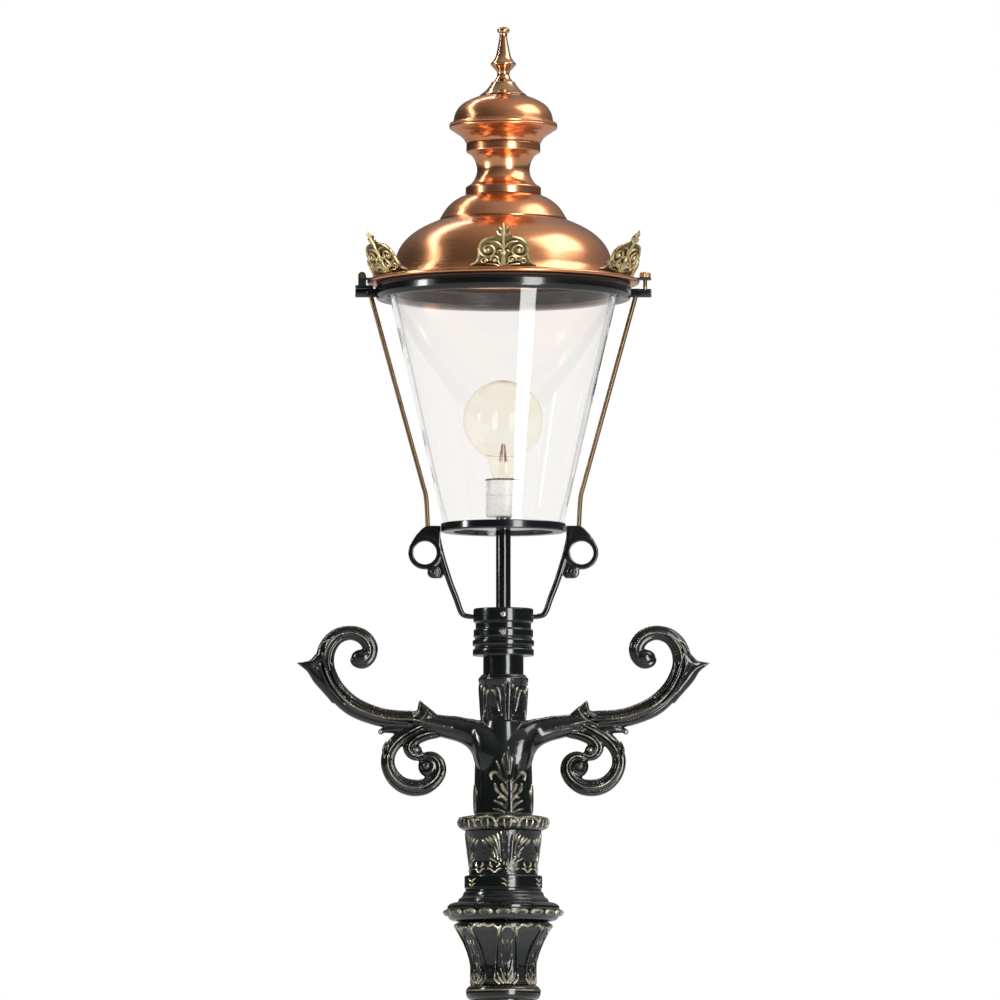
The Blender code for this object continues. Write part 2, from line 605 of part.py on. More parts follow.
def build_lamp(metals):
    """The holder on the pipe, and the globe lamp with its cap and inner stem."""
    holder = [
        (0.0114, 0), (0.0265, 0), (0.0265, 0.056), (0.0145, 0.056), (0.0145, 0.023), (0.004, 0.023),
        (0.004, 0.0133), (0.0114, 0.0133),
    ]
    put_node("lamp_holder", turned_mesh("lamp_holder", holder), metals["ceramic"], (0, 0, 2.762))
    cap = [(0, 0), (0.0050, 0), (0.0090, 0.004), (0.0132, 0.007), (0.0132, 0.0282), (0, 0.0282)]
    put_node("lamp_cap", turned_mesh("lamp_cap", cap), metals["brass"], (0, 0, 2.789))

    bulb_radius, bulb_centre, wall = 0.060, 0.0895, 0.0015
    neck = [(0.0135, 0.0), (0.0165, 0.004), (0.0190, 0.010), (0.0202, 0.018), (0.0222, 0.026)]
    inner_neck = [(radius - wall, height) for radius, height in neck]
    outside = neck + bulb_arc(bulb_radius, bulb_centre)
    inside = inner_neck + bulb_arc(bulb_radius - wall, bulb_centre)
    globe = turned_mesh("lamp_globe", outside + inside[::-1])
    put_node("lamp_globe", globe, metals["lamp_glass"], (0, 0, 2.8175))
    stem = [(0, 0), (0.0080, 0), (0.0050, 0.012), (0.0040, 0.050), (0.0010, 0.0575), (0, 0.0575)]
    put_node("lamp_stem", turned_mesh("lamp_stem", stem, 12), metals["lamp_glass"], (0, 0, 2.8175))


# ---------------------------------------------------------------- roof
def build_roof(metals):
    axis = put_axis("roof_hinge_axis", ROOF_HINGE)
    copper, steel = metals["copper"], metals["steel"]
    sheet = 0.0020
    dome = [
        (0.2035, 0), (0.2045, 0.0030), (0.2035, 0.0060), (0.1745, 0.0060), (0.1700, 0.0110),
        (0.1650, 0.0210),
        (0.1610, 0.0420), (0.1550, 0.0555), (0.1450, 0.0675), (0.1300, 0.0795), (0.1030, 0.0930),
        (0.0990, 0.0948), (0.0600, 0.0948), (0.0600, 0.0928), (0.0980, 0.0928), (0.1285, 0.0775),
        (0.1430, 0.0657), (0.1527, 0.0543), (0.1588, 0.0413), (0.1628, 0.0205), (0.1680, 0.0085),
        (0.1760, 0),
    ]
    put_node("roof_dome", turned_mesh("roof_dome", dome, RING_SIDES), copper, (0, 0, ROOF_LEVEL), axis)
    profiles = {
        "upper_dome": (UPPER_DOME_LEVEL, [
            (0.0955, 0), (0.0955, 0.0022), (0.0920, 0.0082), (0.0885, 0.0142), (0.0840, 0.0202),
            (0.0780, 0.0262), (0.0700, 0.0322), (0.0580, 0.0380), (0.0400, 0.0380),
        ]),
        "chimney_neck": (NECK_LEVEL, [
            (0.0565, 0), (0.0565, 0.0119), (0.0485, 0.0179), (0.0435, 0.0239), (0.0408, 0.0299),
            (0.0408, 0.0479), (0.0435, 0.0539), (0.0475, 0.0599), (0.0555, 0.0650), (0.0555, 0.0779),
            (0.0400, 0.0779),
        ]),
        "chimney_pan": (PAN_LEVEL, [
            (0.0400, 0), (0.0565, 0), (0.0590, 0.0057), (0.0660, 0.0117), (0.0750, 0.0177),
            (0.0810, 0.0225), (0.0810, 0.0267),
        ]),
        "chimney_cap": (CAP_LEVEL, [
            (0.0803, 0), (0.0797, 0.0030), (0.0752, 0.0085), (0.0735, 0.0147), (0.0705, 0.0207),
            (0.0675, 0.0267), (0.0615, 0.0327), (0.0510, 0.0387), (0.0350, 0.0447), (0.0080, 0.0447),
        ]),
    }
    for name, (level, profile) in profiles.items():
        mesh = turned_mesh(name, sheet_outline(profile, sheet))
        put_node(name, mesh, copper, (0, 0, level), axis)

    finial = [
        (0, -0.012), (0.006, -0.012), (0.006, 0), (0.0350, 0), (0.0300, 0.0057), (0.0250, 0.0117),
        (0.0200, 0.0177), (0.0165, 0.0237), (0.0130, 0.0297), (0.0120, 0.0357), (0.0150, 0.0417),
        (0.0195, 0.0477), (0.0180, 0.0537), (0.0140, 0.0597), (0.0110, 0.0657), (0.0075, 0.0717),
        (0.0080, 0.0837), (0.0060, 0.0927), (0.0100, 0.0987), (0.0065, 0.1020), (0, 0.1047),
    ]
    finial_mesh = turned_mesh("finial", finial, SMALL_SIDES)
    put_node("finial", finial_mesh, metals["brass"], (0, 0, FINIAL_LEVEL), axis)
    build_ornaments(metals["brass"], axis)
    build_roof_fittings(steel, metals["brass"], axis)


def build_roof_fittings(steel, brass, axis):
    """The roof's half of the hinge, and on the other side the lug with its latch screw."""
    strap_low, strap_high = RIM_TOP + GAP, RIM_TOP + 0.0033
    strap_start, strap_end, leaf_half, lug_half = ROOF_HINGE.x + 0.0035, -0.1790, 0.0054, 0.0080
    low, high = (strap_start, -leaf_half, strap_low), (strap_end, leaf_half, strap_high)
    leaf = put_block("hinge_leaf", low, high, steel, axis)
    half = ROOF_KNUCKLE_HALF
    knuckle = rod_mesh("leaf_knuckle", KNUCKLE_RADIUS, -half, half, SMALL_SIDES, TO_Y)
    join_shape(leaf, knuckle, ROOF_HINGE)
    bore = rod_mesh("leaf_bore", KNUCKLE_BORE, -0.02, 0.02, SMALL_SIDES, TO_Y)
    cut_shape(leaf, bore, ROOF_HINGE)

    low, high = (0.1790, -lug_half, strap_low), (0.2215, lug_half, strap_high)
    lug = put_block("latch_lug", low, high, steel, axis)
    hole = rod_mesh("lug_hole", 0.0036, -0.01, 0.01, SMALL_SIDES)
    cut_shape(lug, hole, (LATCH_X, 0, strap_high))
    latch_axis = put_axis("latch_axis", (LATCH_X, 0, strap_high), axis)
    shank_end = BOSS_LEVEL - strap_high
    outline = [
        (0, shank_end), (0.0030, shank_end), (0.0030, GAP), (0.0080, GAP), (0.0085, 0.0010),
        (0.0085, 0.0070), (0.0070, 0.0085), (0, 0.0085),
    ]
    screw = turned_mesh("latch_screw", outline, SMALL_SIDES)
    put_node("latch_screw", screw, brass, (LATCH_X, 0, strap_high), latch_axis)


def build_ornaments(material, axis):
    """Six cast crests that lean outward round the rim. Columns are (distance along the rim, height)."""
    half_columns = [
        (0.0000, 0.068), (0.0050, 0.052), (0.0100, 0.042), (0.0200, 0.041), (0.0280, 0.034),
        (0.0310, 0.018), (0.0380, 0.010), (0.0465, 0.004),
    ]
    columns = [(-along, height) for along, height in half_columns[:0:-1]] + half_columns
    rim_radius, base_level = 0.1990, RIM_TOP + 0.0017
    lean, half_thickness = math.radians(30), 0.0025
    for number in range(ORNAMENT_COUNT):
        azimuth = -math.pi / 2 + 2 * math.pi * number / ORNAMENT_COUNT
        bm = bmesh.new()
        sections = []
        for along, height in columns:
            section = []
            for up, out in ((0, -1), (0, 1), (height, 1), (height, -1)):
                radius = rim_radius + up * math.sin(lean) + out * half_thickness * math.cos(lean)
                z = base_level + up * math.cos(lean) - out * half_thickness * math.sin(lean)
                angle = azimuth + along / rim_radius
                section.append(bm.verts.new((radius * math.cos(angle), radius * math.sin(angle), z)))
            sections.append(section)
        for first, second in zip(sections, sections[1:]):
            join_loops(bm, first, second)
        bm.faces.new(sections[0])
        bm.faces.new(sections[-1])
        name = f"crown_ornament_{number + 1}"
        put_node(name, finish_mesh(bm, name), material, (0, 0, 0), axis)


def build_hinge_bracket(metals):
    """The fixed half of the roof hinge, on the ring's left boss, and its pin."""
    strap_low, strap_high = 3.1050, 3.1083
    plate_start, plate_end, plate_half = -0.2215, -0.1950, 0.0180
    low, high = (plate_start, -plate_half, strap_low), (plate_end, plate_half, strap_high)
    bracket = put_block("hinge_bracket", low, high, metals["steel"])
    ear_width = BRACKET_KNUCKLE_END - BRACKET_KNUCKLE_START
    ear_height = ROOF_HINGE.z - strap_low
    for side in (-1, 1):
        middle = side * (BRACKET_KNUCKLE_START + BRACKET_KNUCKLE_END) / 2
        ear = block_mesh("ear", (0.0115, ear_width - 0.0010, ear_height))
        join_shape(bracket, ear, (ROOF_HINGE.x, middle, (strap_low + ROOF_HINGE.z) / 2 + 0.0005))
        knuckle = rod_mesh("knuckle", KNUCKLE_RADIUS, -ear_width / 2, ear_width / 2, SMALL_SIDES, TO_Y)
        join_shape(bracket, knuckle, (ROOF_HINGE.x, middle, ROOF_HINGE.z))
    bore = rod_mesh("pin_bore", KNUCKLE_BORE, -0.03, 0.03, SMALL_SIDES, TO_Y)
    cut_shape(bracket, bore, ROOF_HINGE)
    head_radius, head_start, head_end = 0.0045, 0.0183, 0.0205
    outline = [
        (0, -head_end), (head_radius, -head_end), (head_radius, -head_start),
        (HINGE_PIN_RADIUS, -head_start), (HINGE_PIN_RADIUS, head_start),
        (head_radius, head_start), (head_radius, head_end), (0, head_end),
    ]
    pin = turned_mesh("hinge_pin", outline, SMALL_SIDES, TO_Y)
    put_node("hinge_pin", pin, metals["brass"], ROOF_HINGE)


# ---------------------------------------------------------------- whole lamp
def clear_scene():
    for thing in list(bpy.data.objects):
        bpy.data.objects.remove(thing, do_unlink=True)


def stack_levels():
    levels, level = {}, 0.0
    for name, height in POST_STACK:
        levels[name] = level
        level += height + GAP
    return levels


def main():
    clear_scene()
    metals = make_materials()
    casting = metals["painted_casting"]
    levels = stack_levels()
    build_plinth(casting, levels["base_plinth"])
    build_door(metals)
    build_wiring(metals)
    build_post(casting, metals["steel"], levels)
    build_shaft(casting, levels["shaft"])
    build_cross_arm(casting, levels["cross_arm"])
    build_collar(metals)
    build_cradle(casting)
    build_rings_and_glass(metals)
    build_lamp(metals)
    build_hinge_bracket(metals)
    build_roof(metals)
    bpy.context.view_layer.update()


main()
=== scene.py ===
"""The looks of the street lamp post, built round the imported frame. Metres, +Z up, front towards -Y."""

import math

import bmesh
import bpy
import numpy as np
from mathutils import Matrix, Vector


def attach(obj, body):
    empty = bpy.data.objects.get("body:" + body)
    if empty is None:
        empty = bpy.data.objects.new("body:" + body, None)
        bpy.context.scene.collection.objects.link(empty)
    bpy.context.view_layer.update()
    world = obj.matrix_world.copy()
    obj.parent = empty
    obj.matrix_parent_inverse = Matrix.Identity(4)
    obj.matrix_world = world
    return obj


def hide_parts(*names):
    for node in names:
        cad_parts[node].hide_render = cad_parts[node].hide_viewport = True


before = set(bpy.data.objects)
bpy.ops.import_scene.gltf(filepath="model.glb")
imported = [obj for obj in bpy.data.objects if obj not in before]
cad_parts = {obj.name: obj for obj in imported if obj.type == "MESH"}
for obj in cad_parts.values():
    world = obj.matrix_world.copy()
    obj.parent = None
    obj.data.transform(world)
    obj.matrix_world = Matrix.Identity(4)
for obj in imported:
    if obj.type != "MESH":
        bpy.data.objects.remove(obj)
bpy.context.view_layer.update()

FRONT = -math.pi / 2
BORE = 0.0305  # radius of the hole in the castings that slide over the core tube
POST_REACH = 0.04  # radius that holds the leaf sleeve and the neck of the hub
SMOOTH = 1.0  # a corner that is rounded as far as its two sides allow
LEAF_TURN = math.radians(5.5)  # the leaves sit a little to the right of the front
TO_X = Matrix.Rotation(math.radians(90), 4, "Y")
TO_Y = Matrix.Rotation(math.radians(-90), 4, "X")


# ---------------------------------------------------------------- materials
def new_material(name):
    material = bpy.data.materials.new(name)
    material.use_nodes = True
    return material, material.node_tree, material.node_tree.nodes["Principled BSDF"]


def feed(tree, socket, value):
    """Gives an input a number, a vector or a colour, or links another node's output to it."""
    if isinstance(value, bpy.types.NodeSocket):
        tree.links.new(value, socket)
    elif socket.type == "RGBA":
        socket.default_value = (*value, 1.0)
    else:
        socket.default_value = value


def feed_all(tree, node, inputs):
    for name, value in inputs.items():
        feed(tree, node.inputs[name], value)
    return node


def add_node(tree, kind, inputs):
    return feed_all(tree, tree.nodes.new("ShaderNode" + kind), inputs)


def add_noise(tree, scale, detail=3.0, stretch=(1.0, 1.0, 1.0), roughness=0.5):
    """Noise in the object's own coordinates, in features per metre."""
    place = add_node(tree, "TexCoord", {}).outputs["Object"]
    mapped = add_node(tree, "Mapping", {"Vector": place, "Scale": stretch}).outputs["Vector"]
    settings = {"Vector": mapped, "Scale": scale, "Detail": detail, "Roughness": roughness}
    return add_node(tree, "TexNoise", settings).outputs["Fac"]


def add_range(tree, value, from_low, from_high, to_low, to_high):
    limits = {"From Min": from_low, "From Max": from_high, "To Min": to_low, "To Max": to_high}
    return add_node(tree, "MapRange", {"Value": value, **limits}).outputs["Result"]


def add_math(tree, operation, first, second):
    node = add_node(tree, "Math", {0: first, 1: second})
    node.operation = operation
    return node.outputs["Value"]


def add_mix(tree, factor, first, second):
    """A colour between two, each a colour or a socket."""
    node = add_node(tree, "Mix", {})
    node.data_type = "RGBA"
    colour_a, colour_b, result = 6, 7, 2  # the node also has sockets of other types
    feed_all(tree, node, {"Factor": factor, colour_a: first, colour_b: second})
    return node.outputs[result]


def add_bump(tree, shader, height, distance, strength=1.0):
    bump = add_node(tree, "Bump", {"Distance": distance, "Strength": strength, "Height": height})
    feed(tree, shader.inputs["Normal"], bump.outputs["Normal"])


def relief_value(tree):
    """How far the surface stands out: 0 in a hollow, 0.5 where it is flat, 1 on an edge."""
    node = add_node(tree, "Attribute", {})
    node.attribute_name = "relief"
    return node.outputs["Fac"]


def darker(color, share):
    return tuple(channel * share for channel in color)


def make_paint(name, paint, gilt_and_highlight, wear, grain_size=70.0, grain_depth=0.0006):
    """Glossy paint on a casting, with gilt left on the parts that stand out; the gilt is partly real gold rub
    and partly a painted highlight on the raised edges.
    """
    material, tree, shader = new_material(name)
    edges = add_range(tree, relief_value(tree), 0.66, 0.92, 0.0, 1.0)
    worn = add_range(tree, add_noise(tree, 45.0), 0.3, 0.55, 0.0, wear)
    # the share of gilt and painted highlight: raised edges, in random worn patches
    gilt_and_highlight_share = add_math(tree, "MULTIPLY", edges, worn)
    tone = add_noise(tree, 9.0, 2.0)
    coat = add_mix(tree, tone, darker(paint, 0.55), paint)
    feed_all(tree, shader, {
        "Base Color": add_mix(tree, gilt_and_highlight_share, coat, gilt_and_highlight),
        "Metallic": add_math(tree, "MULTIPLY", gilt_and_highlight_share, 0.6),
        "Roughness": add_range(tree, tone, 0.3, 0.7, 0.13, 0.22),
        "Coat Weight": 0.5, "Coat Roughness": 0.06, "IOR": 1.5,
    })
    add_bump(tree, shader, add_noise(tree, grain_size), grain_depth, 0.35)
    return material


def make_copper(name):
    """Spun copper: fine rings from the spinning tool, and a little uneven tarnish."""
    material, tree, shader = new_material(name)
    clean, warm = (0.86, 0.41, 0.212), (0.66, 0.26, 0.112)
    rings = add_noise(tree, 9.0, 3.0, (1.0, 1.0, 160.0), 0.6)
    tarnish = add_range(tree, add_noise(tree, 7.0), 0.35, 0.7, 0.0, 1.0)
    streak = add_range(tree, rings, 0.35, 0.75, 0.0, 0.2)
    feed_all(tree, shader, {
        "Base Color": add_mix(tree, streak, add_mix(tree, tarnish, clean, warm), warm),
        "Roughness": add_range(tree, rings, 0.3, 0.7, 0.2, 0.28),
        "Metallic": 1.0,
    })
    add_bump(tree, shader, rings, 0.00008, 0.35)
    return material


def make_brass(name, lit_brass, shaded_brass, low=0.35, high=0.62):
    """Cast brass, painted lighter where it stands out and painted darker in its hollows: a painted highlight
    and painted shade.
    """
    material, tree, shader = new_material(name)
    stain = add_noise(tree, 120.0, 4.0)
    uneven = add_range(tree, stain, 0.3, 0.7, -0.12, 0.12)
    # shown is the relief with random unevenness; it sets how much painted shade or painted highlight a point
    # gets.
    shown = add_math(tree, "ADD", relief_value(tree), uneven)
    feed_all(tree, shader, {
        "Base Color": add_mix(tree, add_range(tree, shown, low, high, 0.0, 1.0), shaded_brass, lit_brass),
        "Roughness": add_range(tree, stain, 0.3, 0.7, 0.28, 0.46),
        "Metallic": 1.0,
    })
    add_bump(tree, shader, stain, 0.0003, 0.5)
    return material


def make_grained(name, color, roughness, scale, dull, spread, metallic, bump):
    """A plain surface with fine grain in its colour, its roughness and its height."""
    material, tree, shader = new_material(name)
    grain = add_noise(tree, scale)
    low, high = roughness * (1 - spread[0]), roughness * (1 + spread[1])
    feed_all(tree, shader, {
        "Base Color": add_mix(tree, grain, darker(color, dull), color),
        "Roughness": add_range(tree, grain, 0.3, 0.7, low, high),
        "Metallic": metallic,
    })
    add_bump(tree, shader, grain, bump, 0.4)
    return material


def make_metal(name, color, roughness, scale=300.0):
    return make_grained(name, color, roughness, scale, 0.72, (0.2, 0.25), 1.0, 0.0001)


def make_plain(name, color, roughness, scale=220.0, bump=0.0001):
    return make_grained(name, color, roughness, scale, 0.82, (0.15, 0.15), 0.0, bump)


def make_glass(name, tint, edge, haze, bend):
    """Clear glass: its tint deepens where it is seen edge on, and faint haze lies on it."""
    material, tree, shader = new_material(name)
    facing = add_node(tree, "LayerWeight", {"Blend": 0.35}).outputs["Facing"]
    edge_on = add_range(tree, facing, 0.45, 1.0, 0.0, 1.0)
    feed_all(tree, shader, {
        "Base Color": add_mix(tree, edge_on, tint, edge),
        "Roughness": add_range(tree, add_noise(tree, 14.0), 0.45, 0.8, 0.0, haze),
        "Transmission Weight": 1.0, "IOR": bend,
    })
    return material


def make_floor():
    """Pale and slightly lit from within, so that it stays pale behind the lamp."""
    material = make_plain("pale_floor", (0.93, 0.93, 0.93), 0.8, 4.0, 0.0)
    shader = material.node_tree.nodes["Principled BSDF"]
    feed_all(material.node_tree, shader, {"Emission Color": (1.0, 1.0, 1.0), "Emission Strength": 0.22})
    return material


def make_materials():
    # The second colour of each paint is gilt on raised edges, and partly a painted highlight there.
    black_green, gilt_and_highlight_colour = (0.003, 0.0055, 0.005), (0.66, 0.6, 0.43)
    return {
        "post_casting": make_paint("post_paint", black_green, gilt_and_highlight_colour, 1.0),
        "foliage_casting": make_paint("foliage_paint", black_green, gilt_and_highlight_colour, 1.0, 115.0, 0.0042),
        # The lantern's grey second colour is a worn edge and a painted highlight on its raised edges.
        "lantern_casting": make_paint("lantern_paint", (0.003, 0.0046, 0.0048), (0.42, 0.41, 0.36), 0.25),
        "copper": make_copper("spun_copper"),
        # Each brass goes from its lit colour on raised parts to a painted shade colour in its hollows.
        "brass": make_brass("cast_brass", (0.62, 0.5, 0.28), (0.19, 0.135, 0.06)),
        "brass_turned": make_brass("turned_brass", (0.56, 0.44, 0.23), (0.16, 0.11, 0.05), 0.3, 0.55),
        "bronze_rod": make_metal("rod_bronze", (0.2, 0.13, 0.07), 0.3, 60.0),
        "spire_metal": make_metal("spire_metal", (0.72, 0.42, 0.24), 0.16),
        "steel": make_metal("zinc_steel", (0.56, 0.57, 0.58), 0.34),
        "black_steel": make_metal("blackened_steel", (0.055, 0.058, 0.06), 0.36),
        "filament": make_metal("filament_metal", (0.5, 0.2, 0.15), 0.45),
        "clear_glass": make_glass("clear_glass", (0.97, 0.963, 0.95), (0.99, 0.99, 0.99), 0.02, 1.45),
        "lamp_glass": make_glass("lamp_glass", (0.99, 0.974, 0.915), (0.86, 0.75, 0.47), 0.04, 1.2),
        "ceramic": make_plain("glazed_ceramic", (0.8, 0.8, 0.78), 0.28),
        "rubber": make_plain("black_rubber", (0.02, 0.02, 0.021), 0.65),
        "plastic": make_plain("grey_plastic", (0.3, 0.31, 0.32), 0.45),
        "floor": make_floor(),
    }


# ---------------------------------------------------------------- outlines
def rounded(points, steps=4, closed=True):
    """Points (r, z) or (r, z, fillet), with each fillet drawn as a curve of a few points."""
    out = []
    last = len(points) - 1
    for i, point in enumerate(points):
        fillet = point[2] if len(point) > 2 else 0.0
        here = np.array(point[:2], float)
        if fillet == 0 or (not closed and i in (0, last)):
            out.append(here)
            continue
        to_before = np.array(points[i - 1][:2]) - here
        to_after = np.array(points[(i + 1) % len(points)][:2]) - here
        lengths = np.linalg.norm(to_before), np.linalg.norm(to_after)
        cut = min(fillet, lengths[0] / 2, lengths[1] / 2)
        start, end = here + to_before / lengths[0] * cut, here + to_after / lengths[1] * cut
        for t in np.linspace(0, 1, steps + 1):
            out.append((1 - t) ** 2 * start + 2 * t * (1 - t) * here + t**2 * end)
    return np.array(out)


def without_repeats(outline):
    gaps = np.linalg.norm(outline - np.roll(outline, 1, axis=0), axis=1)
    return outline[gaps > 1e-6]


def densified(outline, step, least_radius=0.0):
    """The closed outline with no stretch longer than step, outside least_radius."""
    out = []
    for start, end in zip(outline, np.roll(outline, -1, axis=0)):
        near_bore = min(start[0], end[0]) < least_radius
        pieces = 1 if near_bore else max(1, math.ceil(np.linalg.norm(end - start) / step))
        out += [start + (end - start) * k / pieces for k in range(pieces)]
    return np.array(out)


def supported(outline, near=0.0005, long=0.004):
    """The closed outline with a point just inside both ends of every long stretch, so that a rounded
    edge doesn't bend the shading of the flat side beside it."""
    out = []
    for start, end in zip(outline, np.roll(outline, -1, axis=0)):
        out.append(start)
        length = np.linalg.norm(end - start)
        if length > long:
            step = (end - start) * near / length
            out += [start + step, end - step]
    return np.array(out)


def sheet(profile, thickness, steps=5):
    """The closed outline of sheet metal whose outer side is this profile, foot first."""
    outer = rounded(profile, steps, closed=False)
    keep = np.append(True, np.linalg.norm(np.diff(outer, axis=0), axis=1) > 1e-6)
    outer = outer[keep]
    along = np.gradient(outer, axis=0)
    normal = np.stack([along[:, 1], -along[:, 0]], axis=1)
    normal /= np.linalg.norm(normal, axis=1)[:, None]
    return np.concatenate([outer, (outer - normal * thickness)[::-1]])


# ---------------------------------------------------------------- meshes
def mesh_from(name, points, faces, weld=False):
    mesh = bpy.data.meshes.new(name)
    mesh.from_pydata(points, [], faces)
    bm = bmesh.new()
    bm.from_mesh(mesh)
    if weld:
        bmesh.ops.remove_doubles(bm, verts=bm.verts, dist=1e-6)
    bmesh.ops.recalc_face_normals(bm, faces=bm.faces)
    bm.to_mesh(mesh)
    bm.free()
    return mesh


def mesh_of(name, bm):
    """The mesh that this editing copy holds; the copy is then freed."""
    mesh = bpy.data.meshes.new(name)
    bm.to_mesh(mesh)
    bm.free()
    return mesh


def grid_faces(rows, columns):
    """Quads of a grid that closes both ways."""
    i, j = np.meshgrid(np.arange(rows), np.arange(columns), indexing="ij")
    ahead, beside = (i + 1) % rows, (j + 1) % columns
    corners = (i * columns + j, ahead * columns + j, ahead * columns + beside, i * columns + beside)
    return np.stack([corner.ravel() for corner in corners], axis=1)


def lathe(name, outline, around=96, relief=None, turn=None):
    """A closed outline turned about Z. relief(angle, radius, height) moves the surface along its normal."""
    outline = supported(without_repeats(np.asarray(outline, float)))
    along = np.roll(outline, -1, axis=0) - np.roll(outline, 1, axis=0)
    normal = np.stack([along[:, 1], -along[:, 0]], axis=1)
    normal /= np.maximum(np.linalg.norm(normal, axis=1), 1e-9)[:, None]
    angle = (2 * np.pi * np.arange(around) / around)[:, None]
    radius = np.repeat(outline[None, :, 0], around, axis=0)
    height = np.repeat(outline[None, :, 1], around, axis=0)
    if relief:
        raised = relief(angle, radius, height)
        radius = radius + raised * normal[None, :, 0]
        height = height + raised * normal[None, :, 1]
    points = np.stack([radius * np.cos(angle), radius * np.sin(angle), height], axis=2).reshape(-1, 3)
    mesh = mesh_from(name, points, grid_faces(around, len(outline)), weld=bool((outline[:, 0] < 1e-6).any()))
    if turn:
        mesh.transform(turn)
    return mesh


def smooth_path(stations, steps):
    """A Catmull-Rom curve through the stations."""
    stations = np.array(stations, float)
    padded = np.concatenate([stations[:1], stations, stations[-1:]])
    out = []
    for i in range(len(stations) - 1):
        p0, p1, p2, p3 = padded[i : i + 4]
        for t in np.arange(steps) / steps:
            out.append(0.5 * (2 * p1 + (p2 - p0) * t + (2 * p0 - 5 * p1 + 4 * p2 - p3) * t**2
                              + (3 * p1 - p0 - 3 * p2 + p3) * t**3))
    out.append(stations[-1])
    return np.array(out)


def flat_sweep(name, stations, section, steps=6, depth=(1.0, 1.0), side=1, upright=False):
    """A bar along (x, z, half width) stations in the XZ plane. section is a closed list of (across, out)
    shares. depth is how deep the bar is for its width, at its start and at its end. An upright bar's
    sections don't turn with its path."""
    path = smooth_path(stations, steps)
    along = np.gradient(path[:, :2], axis=0)
    if upright:
        along[:] = (1.0, 0.0)
    along /= np.linalg.norm(along, axis=1)[:, None]
    section = np.asarray(section)
    across = path[:, 2:3] * section[None, :, 0]
    out = path[:, 2:3] * np.linspace(*depth, len(path))[:, None] * section[None, :, 1]
    x = side * (path[:, 0:1] - along[:, 1:2] * across)
    z = path[:, 1:2] + along[:, 0:1] * across
    points = np.stack([x, out, z], axis=2).reshape(-1, 3)
    rows, columns = len(path), len(section)
    faces = [tuple(f) for f in grid_faces(rows, columns) if max(f) - min(f) < (rows - 1) * columns]
    faces = [f for f in faces if not (f[0] >= (rows - 1) * columns and f[1] < columns)]
    faces.append(tuple(range(columns)))
    faces.append(tuple((rows - 1) * columns + k for k in range(columns)))
    return mesh_from(name, points, faces)


def round_section(count=16, power=1.0):
    angle = 2 * np.pi * np.arange(count) / count
    shape = np.stack([np.cos(angle), np.sin(angle)], axis=1)
    return np.sign(shape) * np.abs(shape) ** power


def ribbed_section(rib=0.3, groove=0.24, rib_width=0.17, groove_at=0.45):
    """A rounded bar with a rib down the middle of its front and back, between two grooves."""
    t = np.linspace(-1, 1, 25)
    crown = 0.9 * np.maximum(1 - t**2, 0) ** 0.5
    raised = rib * np.exp(-((t / rib_width) ** 2))
    sunk = groove * np.exp(-(((np.abs(t) - groove_at) / 0.13) ** 2))
    face = np.maximum(crown + raised - sunk, 0.0)
    front = np.stack([t, face], axis=1)
    back = np.stack([t[-2:0:-1], -face[-2:0:-1]], axis=1)
    return np.concatenate([front, back])


def tube_along(name, points, radii, sides=10):
    """A round bar through points in space, with closed ends."""
    points, radii = np.array(points, float), np.asarray(radii, float)
    along = np.gradient(points, axis=0)
    along /= np.linalg.norm(along, axis=1)[:, None]
    up = np.array([0.0, 1.0, 0.0])
    side = np.cross(along, up)
    weak = np.linalg.norm(side, axis=1) < 0.1
    side[weak] = np.cross(along[weak], [1.0, 0.0, 0.0])
    side /= np.linalg.norm(side, axis=1)[:, None]
    other = np.cross(side, along)
    angle = 2 * np.pi * np.arange(sides) / sides
    ring = side[:, None] * np.cos(angle)[None, :, None] + other[:, None] * np.sin(angle)[None, :, None]
    verts = (points[:, None] + ring * radii[:, None, None]).reshape(-1, 3)
    rows = len(points)
    faces = []
    for i in range(rows - 1):
        for j in range(sides):
            k = (j + 1) % sides
            faces.append((i * sides + j, i * sides + k, (i + 1) * sides + k, (i + 1) * sides + j))
    faces.append(tuple(range(sides)))
    faces.append(tuple((rows - 1) * sides + j for j in range(sides)))
    return mesh_from(name, verts, faces)


def ball(name, centre, radii, detail=16):
    bm = bmesh.new()
    bmesh.ops.create_uvsphere(bm, u_segments=detail, v_segments=detail // 2 + 2, radius=1.0)
    matrix = Matrix.Translation(centre) @ Matrix.Diagonal((*radii, 1.0))
    bmesh.ops.transform(bm, matrix=matrix, verts=bm.verts)
    return mesh_of(name, bm)


def block(name, low, high, bevel):
    """A box between two corners with rounded edges."""
    low, high = Vector(low), Vector(high)
    bm = bmesh.new()
    matrix = Matrix.Translation((low + high) / 2) @ Matrix.Diagonal((*(high - low), 1.0))
    bmesh.ops.create_cube(bm, size=1.0, matrix=matrix)
    bmesh.ops.bevel(bm, geom=list(bm.edges), offset=bevel, segments=3, affect="EDGES")
    return mesh_of(name, bm)


def slab(name, outline, half_thickness, side=1):
    """An (x, z) outline extruded both ways along Y."""
    count = len(outline)
    points = [(side * x, y, z) for y in (-half_thickness, half_thickness) for x, z in outline]
    faces = [tuple(range(count)), tuple(range(2 * count - 1, count - 1, -1))]
    faces += [(i, (i + 1) % count, count + (i + 1) % count, count + i) for i in range(count)]
    return mesh_from(name, points, faces)


def joined(name, meshes):
    """One mesh that holds all these meshes."""
    bm = bmesh.new()
    for mesh in meshes:
        bm.from_mesh(mesh)
        bpy.data.meshes.remove(mesh)
    return mesh_of(name, bm)


def added(name, data):
    """A new object in the scene."""
    thing = bpy.data.objects.new(name, data)
    bpy.context.scene.collection.objects.link(thing)
    return thing


